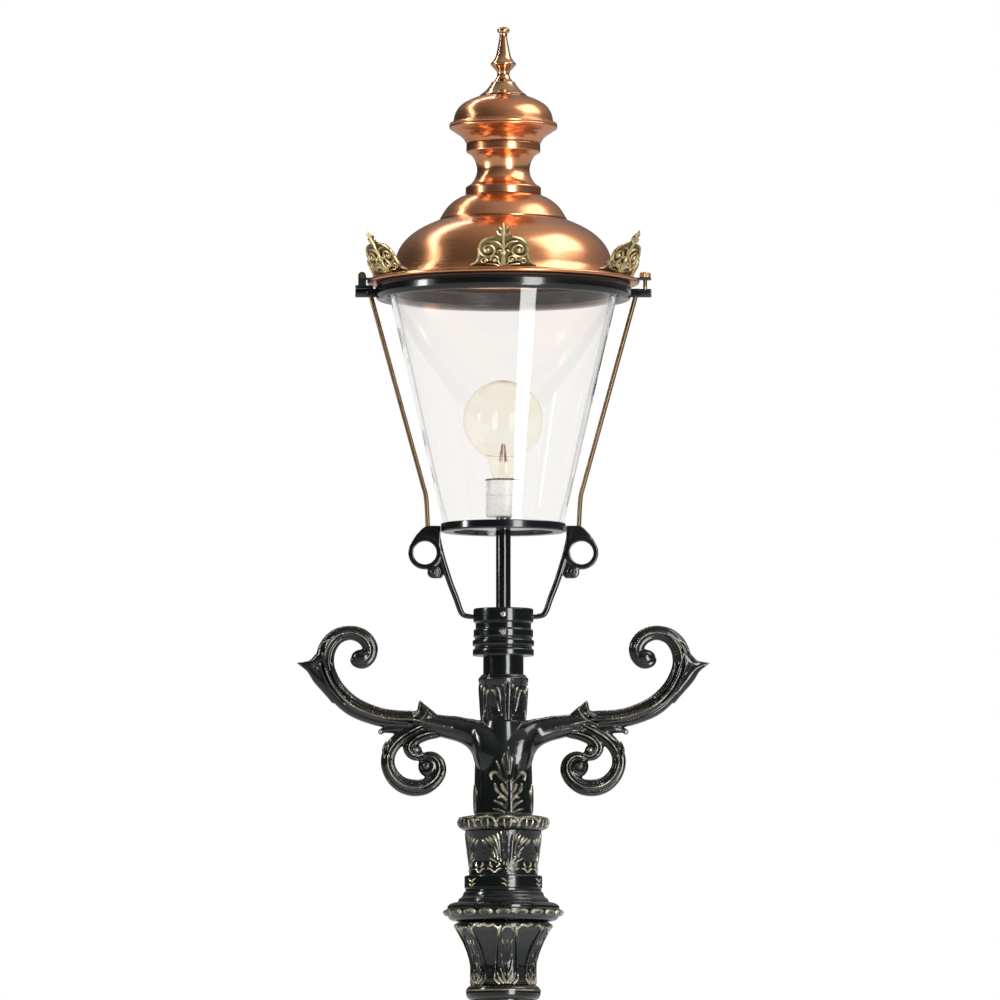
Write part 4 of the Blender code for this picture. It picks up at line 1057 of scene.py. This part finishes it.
# ---------------------------------------------------------------- lantern frame
def collar_swings(level):
    """Turns that lay something along the collar's radius at three places round it."""
    lift = Matrix.Translation((0, 0, level))
    return [lift @ Matrix.Rotation(math.radians(azimuth), 4, "Z") @ TO_X for azimuth in (-90, 30, 150)]


def add_collar():
    bore, shoulder, height, pipe_hole = 0.0306, 0.0562, 0.0705, 0.0114
    outline = rounded([
        (bore, 0), (0.045, 0), (0.0457, 0.001, 0.001), (0.0457, 0.009, 0.002), (0.0425, 0.0115, 0.0012),
        (0.0425, 0.013, 0.0012), (0.046, 0.015, 0.002), (0.046, 0.023, 0.002), (0.0425, 0.0245, 0.001),
        (0.0425, 0.0265, 0.001), (0.0445, 0.028, 0.0015), (0.0445, 0.0385, 0.0015), (0.0415, 0.04, 0.001),
        (0.0415, 0.049, 0.001), (0.0449, 0.0505, 0.001), (0.0449, 0.069, 0.0015), (0.0435, height),
        (pipe_hole, height), (pipe_hole, shoulder), (bore, shoulder),
    ]) + [0, 2.5535]
    boss = rounded([
        (0.0046, 0.04), (0.0075, 0.04), (0.0075, 0.045, 0.0012), (0.006, 0.0462), (0.0046, 0.0462),
    ])
    hole = [(0, 0.028), (0.0046, 0.028), (0.0046, 0.05), (0, 0.05)]
    low_level, top_level = 2.5865, 2.6135
    low_swings, top_swings = collar_swings(low_level), collar_swings(top_level)
    holes = [lathe("hole", hole, 24, turn=swing) for swing in low_swings]
    bosses = [lathe("boss", boss, 32, turn=swing) for swing in low_swings]
    mesh = joined("collar", [cut(lathe("collar", outline, 128), *holes), *bosses])
    mark_relief(mesh, 0.0007)
    add_piece("ribbed_collar", mesh, "lantern_casting", "post", ["lantern_collar"])

    screw = rounded([
        (0, 0.0308), (0.0041, 0.0308), (0.0041, 0.0462, 0.0006), (0.0034, 0.0468, 0.0002),
        (0.0021, 0.0468), (0.0021, 0.0438), (0, 0.0438),
    ])
    for number, swing in enumerate(low_swings, start=1):
        mesh = lathe("screw", screw, 32, turn=swing)
        add_piece(f"set_screw_{number}", mesh, "steel", "post", [f"collar_screw_{number}"])
    head = rounded([
        (0, 0.043), (0.004, 0.043), (0.004, 0.0456, 0.0008), (0.0019, 0.0464, 0.0002), (0.0019, 0.045),
        (0, 0.045),
    ])
    for number, swing in enumerate(top_swings, start=1):
        add_piece(f"top_screw_{number}", lathe("head", head, 32, turn=swing), "steel", "post")

    pipe = rounded([(0.0085, 2.598), (0.011, 2.598), (0.011, 2.775), (0.0085, 2.775)])
    mesh = lathe("pipe", densified(pipe, 0.02), 48)
    mark_relief(mesh)
    add_piece("black_pipe", mesh, "lantern_casting", "post", ["lamp_pipe"])


def cradle_mesh(side):
    bar = [
        (0.101, 2.742, 0.0048), (0.0935, 2.708, 0.0048), (0.0862, 2.683, 0.0048), (0.0788, 2.6607, 0.0047),
        (0.0705, 2.6396, 0.0046), (0.0635, 2.62, 0.0044), (0.0575, 2.614, 0.004), (0.0442, 2.6118, 0.0036),
    ]
    shoulder = [
        (0.0938, 2.7395), (0.0938, 2.7485), (0.115, 2.7485), (0.1215, 2.744), (0.13, 2.735),
        (0.137, 2.724), (0.134, 2.712), (0.13, 2.708), (0.098, 2.708), (0.0945, 2.72),
    ]
    web = [(0.09, 2.7), (0.086, 2.679), (0.0925, 2.67), (0.1045, 2.6695), (0.112, 2.678), (0.1135, 2.69)]
    eye_x, eye_z, eye_hole, eye_rim = 0.1172, 2.708, 0.0174, 0.025
    rim = lathe("rim", rounded([
        (eye_hole, -0.0055, 0.0018), (eye_rim, -0.0055, 0.0018), (eye_rim, 0.0055, 0.0018),
        (eye_hole, 0.0055, 0.0018),
    ]), 64, turn=Matrix.Translation((side * eye_x, 0, eye_z)) @ TO_Y)
    knob = lathe("knob", rounded([
        (0, -0.008), (0.0035, -0.008, 0.001), (0.004, -0.0062, 0.001), (0.0093, -0.0058, 0.0022),
        (0.0093, 0.0058, 0.0022), (0.004, 0.0062, 0.001), (0.0035, 0.008, 0.001), (0, 0.008),
    ]), 40, turn=Matrix.Translation((side * 0.1045, 0, 2.679)) @ TO_Y)
    parts = [
        rim, knob, slab("shoulder", shoulder, 0.005, side), slab("web", web, 0.0042, side),
        flat_sweep("bar", bar, round_section(16, 0.8), 8, (1.1, 1.1), side),
    ]
    mesh = fused(joined("cradle", parts), 0.0009, 4)
    hole = lathe("eye_hole", [(0, -0.02), (eye_hole, -0.02), (eye_hole, 0.02), (0, 0.02)], 64,
                 turn=Matrix.Translation((side * eye_x, 0, eye_z)) @ TO_Y)
    return cut(mesh, hole)


def add_cradle():
    for side, name in ((-1, "left"), (1, "right")):
        mesh = cradle_mesh(side)
        mark_relief(mesh, 0.001)
        add_piece(f"cradle_{name}", mesh, "lantern_casting", "post", [f"cradle_arm_{name}"])


def add_rings_and_glass():
    bottom = rounded([
        (0.0745, 0), (0.0925, 0, 0.001), (0.0935, 0.0015, 0.001), (0.0935, 0.0115, 0.001), (0.0925, 0.0125),
        (0.0912, 0.0125), (0.0912, 0.008), (0.079, 0.008), (0.079, 0.0035), (0.0745, 0.0035),
    ]) + [0, 2.739]
    mesh = lathe("bottom_ring_body", bottom, 128)
    mark_relief(mesh, 0.001)
    add_piece("glass_seat_ring", mesh, "lantern_casting", "post", ["bottom_ring"])

    pane = rounded([(0.0114, 0), (0.0786, 0, 0.0005), (0.0786, 0.003, 0.0005), (0.0114, 0.003)]) + [0, 2.7428]
    add_piece("floor_pane", lathe("pane", pane, 96), "clear_glass", "post", ["bottom_glass"])
    cone = rounded([
        (0.0854, 2.7475, 0.0008), (0.0895, 2.7475, 0.0008), (0.1719, 3.1, 0.0008), (0.1678, 3.1, 0.0008),
    ])
    add_piece("glass_bowl", lathe("cone", cone, 192), "clear_glass", "post", ["glass_cone"])
    seal = rounded([
        (0.165, 3.1003, 0.001), (0.1738, 3.1003, 0.001), (0.1738, 3.1075, 0.001), (0.165, 3.1075, 0.001),
    ])
    add_piece("edge_seal", lathe("seal", seal, 128), "rubber", "post", ["glass_seal"])
    gasket = rounded([(0.177, 3.1083, 0.0008), (0.19, 3.1083, 0.0008), (0.19, 3.1112, 0.0008),
                      (0.177, 3.1112, 0.0008)])
    add_piece("lid_gasket", lathe("gasket", gasket, 128), "rubber", "post", ["roof_gasket"])

    ring = rounded([
        (0.1745, 3.0955, 0.0006), (0.178, 3.09, 0.003), (0.1885, 3.0875, 0.002), (0.192, 3.094, 0.003),
        (0.192, 3.105, 0.002),
        (0.1905, 3.108, 0.001), (0.1745, 3.108, 0.0006),
    ])
    parts = [lathe("ring", densified(ring, 0.006), 192)]
    for side in (-1, 1):
        outward = Matrix.Translation((0, 0, 3.098)) @ Matrix.Rotation(math.radians(90 * side), 4, "Y")
        boss = rounded([(0, 0.184), (0.0065, 0.184), (0.0065, 0.2205, 0.0012), (0.0055, 0.222), (0, 0.222)])
        parts.append(lathe("boss", boss, 40, turn=outward))
        parts.append(block("boss_foot", (min(side * 0.187, side * 0.206), -0.01, 3.0925),
                           (max(side * 0.187, side * 0.206), 0.01, 3.104), 0.002))
    mesh = joined("top_ring", parts)
    hole = lathe("hole", [(0, 3.096), (0.0042, 3.096), (0.0042, 3.12), (0, 3.12)], 24)
    hole.transform(Matrix.Translation((0.2125, 0, 0)))
    mesh = cut(mesh, hole)
    mark_relief(mesh, 0.001)
    add_piece("lantern_ring", mesh, "lantern_casting", "post", ["top_ring"])

    hoop = rounded([(0.1632, 3.0985, 0.0006), (0.1648, 3.0985, 0.0006), (0.1648, 3.112), (0.1632, 3.112)])
    add_piece("inner_hoop", lathe("hoop", hoop, 192), "black_steel", "post")

    radius = 0.0034
    rod = [
        (0.113, 2.747, radius), (0.1155, 2.79, radius), (0.1215, 2.8145, radius), (0.14, 2.8815, radius),
        (0.1985, 3.094, radius),
    ]
    for side, name in ((-1, "left"), (1, "right")):
        mesh = flat_sweep("rod", rod, round_section(20), 8, (1.0, 1.0), side)
        add_piece(f"tie_rod_{name}", mesh, "bronze_rod", "post", [f"side_rod_{name}"])


# ---------------------------------------------------------------- lamp
def bulb_arc(radius, centre, steps=36):
    """The side of the lamp's ball, from where it leaves the neck up to its crown on the axis."""
    start = math.radians(-62)
    angles = start + (math.radians(90) - start) * np.arange(steps + 1) / steps
    return [(max(radius * math.cos(a), 0.0), centre + radius * math.sin(a)) for a in angles]


def add_lamp():
    holder = rounded([
        (0.0114, 0), (0.025, 0), (0.0258, 0.001, 0.001), (0.0258, 0.029, 0.0008), (0.025, 0.03, 0.0006),
        (0.025, 0.0312, 0.0006), (0.0258, 0.0322, 0.0008), (0.0258, 0.053, 0.0008), (0.0264, 0.0536, 0.0004),
        (0.0264, 0.056, 0.0008), (0.0145, 0.056), (0.0145, 0.023), (0.004, 0.023), (0.004, 0.0133),
        (0.0114, 0.0133),
    ]) + [0, 2.762]
    add_piece("lamp_socket", lathe("holder", holder, 96), "ceramic", "post", ["lamp_holder"])

    rim = rounded([(0.0258, 2.8156), (0.0268, 2.8156, 0.0004), (0.0268, 2.8182, 0.0004), (0.0258, 2.8182)])
    add_piece("socket_rim", lathe("rim", rim, 96), "black_steel", "post")

    turns, pitch = 6, 0.0035
    profile = [(0, 0), (0.0048, 0, 0.001), (0.009, 0.004, 0.001), (0.0118, 0.0065)]
    for turn in range(turns):
        level = 0.0065 + turn * pitch
        profile += [(0.0131, level + pitch * 0.4, SMOOTH), (0.0118, level + pitch * 0.9, SMOOTH)]
    profile += [(0.0131, 0.028), (0, 0.028)]
    cap = rounded(profile) + [0, 2.789]
    add_piece("screw_cap", lathe("cap", cap, 64), "brass_turned", "post", ["lamp_cap"])

    radius, centre, wall = 0.06, 0.0895, 0.0013
    neck = [(0.0135, 0.0), (0.0165, 0.004), (0.019, 0.01), (0.0202, 0.018), (0.0222, 0.026)]
    outside = rounded([(r, z, SMOOTH) for r, z in neck] + bulb_arc(radius, centre), 5, False)
    inner_neck = [(r - wall, z, SMOOTH) for r, z in neck]
    inside = rounded(inner_neck + bulb_arc(radius - wall, centre), 5, False)
    globe = np.concatenate([outside, inside[::-1]]) + [0, 2.8175]
    add_piece("globe", lathe("globe", globe, 96), "lamp_glass", "post", ["lamp_globe"])

    stem = rounded([
        (0, 0), (0.0085, 0), (0.005, 0.012, 0.006), (0.0036, 0.03, 0.006), (0.0036, 0.05, 0.002),
        (0.001, 0.0575), (0, 0.0575),
    ]) + [0, 2.8175]
    add_piece("glass_stem", lathe("stem", stem, 40), "lamp_glass", "post", ["lamp_stem"])
    wires = []
    for k in range(8):
        angle = math.pi / 8 + k * math.pi / 4
        lean = 0.0045 if k % 2 else 0.0065
        bottom = (lean * math.cos(angle), lean * math.sin(angle), 2.845)
        top = (0.0022 * math.cos(angle), 0.0022 * math.sin(angle), 2.871)
        wires.append(tube_along("wire", [bottom, top], [0.0006, 0.0005], 8))
    add_piece("filament_cage", joined("filament", wires), "filament", "post")


# ---------------------------------------------------------------- roof
def add_roof():
    dome = rounded([
        (0.203, 0.0005, 0.0012), (0.2045, 0.003, 0.003), (0.203, 0.006, 0.0018), (0.2, 0.0052, 0.0015),
        (0.179, 0.0056, 0.003), (0.172, 0.008, 0.004), (0.1672, 0.0175, SMOOTH), (0.1642, 0.03, SMOOTH),
        (0.1605, 0.043, SMOOTH), (0.155, 0.0553, SMOOTH), (0.146, 0.0668, SMOOTH), (0.132, 0.0785, SMOOTH),
        (0.116, 0.0872, SMOOTH), (0.101, 0.0938, SMOOTH), (0.096, 0.0948, 0.001), (0.06, 0.0948),
        (0.06, 0.0928), (0.098, 0.0928, 0.002), (0.1285, 0.0775, SMOOTH), (0.143, 0.0657, SMOOTH),
        (0.1527, 0.0543, SMOOTH), (0.1588, 0.0413, SMOOTH), (0.1628, 0.0205, SMOOTH), (0.168, 0.0085, 0.004),
        (0.176, 0.0005, 0.001),
    ], 6) + [0, 3.1115]
    mesh = lathe("dome", dome, 192)
    mark_relief(mesh)
    add_piece("spun_dome", mesh, "copper", "roof", ["roof_dome"])

    profiles = {
        "upper_dome": (3.2068, [
            (0.0955, 0), (0.0955, 0.0022, 0.0015), (0.092, 0.0082, SMOOTH), (0.0885, 0.0142, SMOOTH),
            (0.084, 0.0202, SMOOTH), (0.078, 0.0262, SMOOTH), (0.07, 0.0322, SMOOTH), (0.059, 0.0375, 0.004),
            (0.04, 0.038),
        ]),
        "chimney_neck": (3.2451, [
            (0.0565, 0), (0.0565, 0.0119, 0.002), (0.0485, 0.0165, SMOOTH), (0.0432, 0.0239, SMOOTH),
            (0.0402, 0.031, SMOOTH), (0.0392, 0.0385, SMOOTH), (0.0402, 0.046, SMOOTH),
            (0.043, 0.0539, SMOOTH), (0.0475, 0.0605, 0.002),
            (0.0555, 0.065, 0.0015), (0.0555, 0.0775, 0.0015), (0.04, 0.0779),
        ]),
        "chimney_pan": (3.3233, [
            (0.04, 0), (0.056, 0, 0.001), (0.0585, 0.006, SMOOTH), (0.0645, 0.012, SMOOTH),
            (0.073, 0.0172, SMOOTH), (0.0765, 0.0205, 0.001), (0.079, 0.021, 0.001), (0.0812, 0.0235, 0.0015),
            (0.0812, 0.0255, 0.0012), (0.08, 0.0267),
        ]),
        "chimney_cap": (3.3503, [
            (0.0803, 0), (0.0812, 0.0018, 0.001), (0.0795, 0.0038, 0.001), (0.0752, 0.0048, 0.0008),
            (0.0746, 0.0085, SMOOTH), (0.0735, 0.0147, SMOOTH), (0.0712, 0.0207, SMOOTH),
            (0.0675, 0.0267, SMOOTH), (0.061, 0.033, SMOOTH), (0.05, 0.039, SMOOTH),
            (0.035, 0.0447, 0.003), (0.008, 0.0447),
        ]),
    }
    for name, (level, profile) in profiles.items():
        outline = sheet(profile, 0.0018) + [0, level]
        mesh = lathe(name, outline, 128)
        mark_relief(mesh)
        add_piece(f"spun_{name}", mesh, "copper", "roof", [name])

    finial = rounded([
        (0, -0.012), (0.006, -0.012), (0.006, 0), (0.035, 0), (0.035, 0.0012, 0.0008),
        (0.029, 0.0055, SMOOTH),
        (0.0235, 0.011, SMOOTH), (0.0185, 0.018, 0.001), (0.0182, 0.0198, 0.0006), (0.015, 0.0212, 0.001),
        (0.011, 0.026, SMOOTH), (0.0088, 0.032, SMOOTH), (0.01, 0.037, SMOOTH), (0.015, 0.042, SMOOTH),
        (0.0192, 0.047, 0.001), (0.0192, 0.0488, 0.0008), (0.015, 0.053, SMOOTH), (0.0115, 0.059, SMOOTH),
        (0.0095, 0.068, SMOOTH), (0.0075, 0.079, SMOOTH), (0.0056, 0.09, SMOOTH), (0.006, 0.094, 0.001),
        (0.0092, 0.0965, 0.0012), (0.0095, 0.1, 0.0015), (0.006, 0.1035, SMOOTH), (0, 0.1047),
    ], 5) + [0, 3.3953]
    mesh = lathe("finial_body", finial, 64)
    mark_relief(mesh, 0.003)
    add_piece("spire", mesh, "spire_metal", "roof", ["finial"])


RIM_RADIUS, CREST_FOOT, CREST_LEAN = 0.199, 3.1192, math.radians(30)


def crest_mesh():
    """One pierced crest in flat form: x along the rim, z up its height, y towards the dome."""
    edge = [
        (0.049, 0.0), (0.0475, 0.0035), (0.0405, 0.0065), (0.0362, 0.013), (0.035, 0.027), (0.031, 0.037),
        (0.024, 0.044), (0.016, 0.048), (0.009, 0.049), (0.006, 0.052), (0.008, 0.057), (0.0055, 0.061),
        (0.002, 0.065),
    ]
    outline = edge + [(-x, z) for x, z in reversed(edge)]
    # A dark plate behind the ribs fills the piercings as painted shade.
    shade_plate = slab("shade_plate", outline, 0.0007)
    shade_plate.transform(Matrix.Translation((0, 0.0012, 0)))
    shade_plate_size = len(shade_plate.vertices)
    round_bar = round_section(8)

    def rib(stations, steps=3):
        return flat_sweep("rib", stations, round_bar, steps, (1.15, 1.15))

    foot = [
        (0.0355, 0.016, 0.0019), (0.0385, 0.0085, 0.0019), (0.043, 0.0045, 0.0017), (0.049, 0.002, 0.0008),
    ]
    volute = spiral((0.0215, 0.027), math.radians(200), 1.55, 0.0022, 0.0138, 0.0013, 0.0022, 26)
    outer = volute + foot
    lower = spiral((0.012, 0.011), math.radians(60), -1.2, 0.0015, 0.007, 0.001, 0.0017, 18)
    corner = spiral((0.0285, 0.0085), math.radians(120), 1.15, 0.0012, 0.0055, 0.001, 0.0015, 16)
    crook = [(0.019, 0.0405, 0.0013), (0.011, 0.04, 0.0017), (0.005, 0.036, 0.0016), (0.0025, 0.03, 0.0011)]
    palm = [
        [(0.001, 0.001, 0.0013), (0.002, 0.008, 0.0016), (0.0022, 0.015, 0.0007)],
        [(0.003, 0.001, 0.0012), (0.0065, 0.006, 0.0015), (0.008, 0.012, 0.0007)],
        [(0.006, 0.0005, 0.0012), (0.013, 0.003, 0.0015), (0.021, 0.004, 0.0012), (0.025, 0.0035, 0.0007)],
        [(0.003, 0.05, 0.0012), (0.007, 0.053, 0.0016), (0.0085, 0.0575, 0.001)],
        [(0.002, 0.0595, 0.001), (0.0048, 0.062, 0.0013), (0.0045, 0.0655, 0.0007)],
        [(0.009, 0.0225, 0.001), (0.006, 0.026, 0.0015), (0.003, 0.025, 0.001)],
        [(0.0348, 0.025, 0.0009), (0.0315, 0.0365, 0.0016), (0.0225, 0.0448, 0.0017), (0.012, 0.0482, 0.001)],
    ]
    parts = []
    for line in [outer, lower, corner, crook, *palm]:
        mirrored = [(-x, z, half) for x, z, half in line]
        steps = 1 if len(line) > 10 else 4
        parts += [rib(line, steps), rib(mirrored, steps)]
    spear = [
        (0, 0.002, 0.0018), (0, 0.016, 0.0024), (0, 0.032, 0.0026), (0, 0.045, 0.0022), (0, 0.052, 0.0034),
        (0, 0.06, 0.0028), (0, 0.066, 0.002), (0, 0.0705, 0.0006),
    ]
    parts.append(rib(spear, 4))
    for sign in (-1, 1):
        parts.append(ball("eye", (sign * 0.0215, -0.0004, 0.027), (0.0034, 0.003, 0.0034), 12))
        parts.append(ball("eye", (sign * 0.012, -0.0004, 0.011), (0.0024, 0.0026, 0.0024), 12))
    parts.append(ball("rosette", (0, -0.0006, 0.0215), (0.0046, 0.0034, 0.0046), 14))
    mesh = joined("crest", [shade_plate, *parts])
    mark_relief(mesh, 0.0011)
    # The plate's relief is set low, so the brass paints it in its painted shade colour.
    for item in mesh.attributes["relief"].data[:shade_plate_size]:
        item.value = 0.22

    for vertex in mesh.vertices:
        along, inward, up = vertex.co
        radius = RIM_RADIUS + up * math.sin(CREST_LEAN) - inward * math.cos(CREST_LEAN)
        level = CREST_FOOT + up * math.cos(CREST_LEAN) + inward * math.sin(CREST_LEAN)
        angle = FRONT + along / RIM_RADIUS
        vertex.co = (radius * math.cos(angle), radius * math.sin(angle), level)
    return mesh


def add_crests():
    mesh = crest_mesh()
    for number in range(6):
        turned = mesh.copy()
        turned.transform(Matrix.Rotation(number * math.pi / 3, 4, "Z"))
        add_piece(f"crest_{number + 1}", turned, "brass", "roof", [f"crown_ornament_{number + 1}"])


# ---------------------------------------------------------------- door, hinges, fittings
def add_door():
    face = block("door_face", (-0.039, -0.1265, 0.2), (0.039, -0.1175, 0.5), 0.0022)
    panel = block("panel", (-0.029, -0.14, 0.214), (0.015, -0.1245, 0.486), 0.0018)
    hole = lathe("hole", [(0, -0.01), (0.0065, -0.01), (0.0065, 0.02), (0, 0.02)], 32,
                 turn=Matrix.Translation((0.027, -0.1265, 0.35)) @ TO_Y)
    parts = [cut(face, panel, hole)]
    for level in (0.245, 0.437):
        knuckle = rounded([(0.003, 0), (0.0055, 0, 0.0006), (0.0055, 0.018, 0.0006), (0.003, 0.018)])
        knuckle = knuckle + [0, level]
        parts.append(lathe("knuckle", knuckle, 32, turn=Matrix.Translation((-0.0455, -0.131, 0))))
        low, high = (-0.042, -0.1308, level + 0.002), (-0.027, -0.1262, level + 0.016)
        parts.append(block("strap", low, high, 0.001))
    mesh = joined("door", parts)
    add_piece("panel_door", mesh, "post_casting", "door", ["base_door"], sharp=30)

    bolt = rounded([
        (0, -0.003), (0.0028, -0.003), (0.0028, -0.006), (0.0074, -0.006), (0.008, -0.0052, 0.0006),
        (0.008, -0.0003), (0.006, -0.0003), (0.006, 0.0093), (0.0035, 0.0093), (0.0035, 0.016), (0, 0.016),
    ])
    mesh = lathe("bolt", bolt, 48, turn=Matrix.Translation((0.027, -0.1265, 0.35)) @ TO_Y)
    bar = block("tri_key", (0.0255, -0.1325, 0.347), (0.0285, -0.129, 0.353), 0.0003)
    mesh = joined("bolt", [mesh, bar])
    mark_relief(mesh, 0.001)
    add_piece("key_bolt", mesh, "brass_turned", "bolt", ["door_bolt"])


def add_latch():
    axis = Matrix.Translation((0.2125, 0, 3.1208))
    knurl = rounded([
        (0, -0.0228), (0.003, -0.0228, 0.0006), (0.003, 0.0003), (0.0078, 0.0003), (0.0085, 0.0012, 0.0006),
        (0.0085, 0.0066, 0.0006), (0.007, 0.0085, 0.0006), (0, 0.0085),
    ])

    def knurled(angle, radius, height):
        grip = (radius > 0.0078) & (height > 0.001)
        return -0.0004 * (0.5 + 0.5 * np.cos(angle * 20)) * grip

    mesh = lathe("latch", knurl, 160, knurled, axis)
    mark_relief(mesh, 0.001)
    add_piece("thumb_screw", mesh, "brass_turned", "latch", ["latch_screw"])


def finish_cad_nodes():
    """The small CAD parts that are shown as they are get rounded edges and their finish."""
    looks = {
        "mounting_rail": "steel", "junction_box": "plastic", "junction_lid": "plastic",
        "terminal_block": "ceramic", "cable_gland": "plastic", "pipe_nut": "steel",
        "door_keeper": "steel", "door_pintle_lower": "steel", "door_pintle_upper": "steel",
        "hinge_bracket": "black_steel", "hinge_leaf": "black_steel",
        "latch_lug": "black_steel", "hinge_pin": "brass_turned",
    }
    for name, look in looks.items():
        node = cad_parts[name]
        node.data.materials.clear()
        node.data.materials.append(LOOKS[look])
        bevel = node.modifiers.new("soft_edges", "BEVEL")
        bevel.width = 0.0005
        bevel.segments = 2
        bevel.limit_method = "ANGLE"
        bevel.angle_limit = math.radians(40)


# ---------------------------------------------------------------- stage
def add_light(name, place, aim, size, power, along=(0, 0, 1)):
    """An area light at place that shines at aim; its second side lies in this direction."""
    light = bpy.data.lights.new(name, "AREA")
    light.shape = "RECTANGLE"
    light.size, light.size_y = size
    light.energy = power
    lamp = added(name, light)
    back = (Vector(place) - Vector(aim)).normalized()
    across = Vector(along).cross(back).normalized()
    turn = Matrix((across, back.cross(across), back)).transposed().to_4x4()
    lamp.matrix_world = Matrix.Translation(place) @ turn


def around(azimuth, distance, height):
    """A place round the lamp; azimuth 0 is towards the front, and it grows towards the right."""
    angle = FRONT + math.radians(azimuth)
    return distance * math.cos(angle), distance * math.sin(angle), height


def add_stage():
    floor = added("floor", bpy.data.meshes.new("floor"))
    size = 60.0
    corners = [(-size, -size, 0), (size, -size, 0), (size, size, 0), (-size, size, 0)]
    floor.data.from_pydata(corners, [], [(0, 1, 2, 3)])
    floor.data.materials.append(LOOKS["floor"])

    world = bpy.data.worlds.new("studio")
    bpy.context.scene.world = world
    world.use_nodes = True
    tree = world.node_tree
    direction = add_node(tree, "TexCoord", {}).outputs["Generated"]
    parts = add_node(tree, "SeparateXYZ", {"Vector": direction}).outputs
    rise = add_range(tree, parts["Z"], 0.0, 1.0, 0.0, 1.0)
    to_right = add_range(tree, parts["X"], -0.8, 0.8, 0.12, 1.0)
    sky = add_mix(tree, add_math(tree, "MULTIPLY", rise, to_right), (0.035, 0.036, 0.038), (0.8, 0.79, 0.78))
    ray = add_node(tree, "LightPath", {}).outputs
    through = add_math(tree, "GREATER_THAN", ray["Transmission Depth"], 0.5)
    mirrored = add_math(tree, "MULTIPLY", ray["Is Singular Ray"], 0.85)
    seen = add_math(tree, "MAXIMUM", add_math(tree, "MAXIMUM", ray["Is Camera Ray"], through), mirrored)
    feed(tree, tree.nodes["Background"].inputs["Color"], add_mix(tree, seen, sky, (1.0, 1.0, 1.0)))

    dome = (0, 0, 3.2)
    add_light("right_soft", around(77, 1.85, 5.0), dome, (2.0, 1.5), 32)
    add_light("front_strip", around(26, 3.0, 2.4), (0, 0, 2.4), (0.87, 3.0), 80)
    add_light("left_lean", (-1.7, 0.9, 5.2), dome, (0.09, 5.2), 30, (0, 1, 1))
    add_light("left_strip", (-1.7, -0.5, 3.1), (0, 0, 3.1), (0.3, 0.6), 10)

    camera = added("camera", bpy.data.cameras.new("camera"))
    camera.location = (-0.005, -15.05, 1.65)
    camera.rotation_euler = (math.radians(94.321), 0, 0)
    camera.data.lens = 363.2
    camera.data.clip_end = 200.0
    bpy.context.scene.camera = camera
    bpy.context.scene.view_settings.view_transform = "Standard"


# ---------------------------------------------------------------- all of it
LOOKS = make_materials()

add_stage()
add_plinth()
add_vase()
add_shaft()
add_capital()
add_egg_ring()
add_band()
add_drum()
add_petal_ring()
add_cross_arm()
add_sleeve()
add_collar()
add_cradle()
add_rings_and_glass()
add_lamp()
add_roof()
add_crests()
add_door()
add_latch()
finish_cad_nodes()
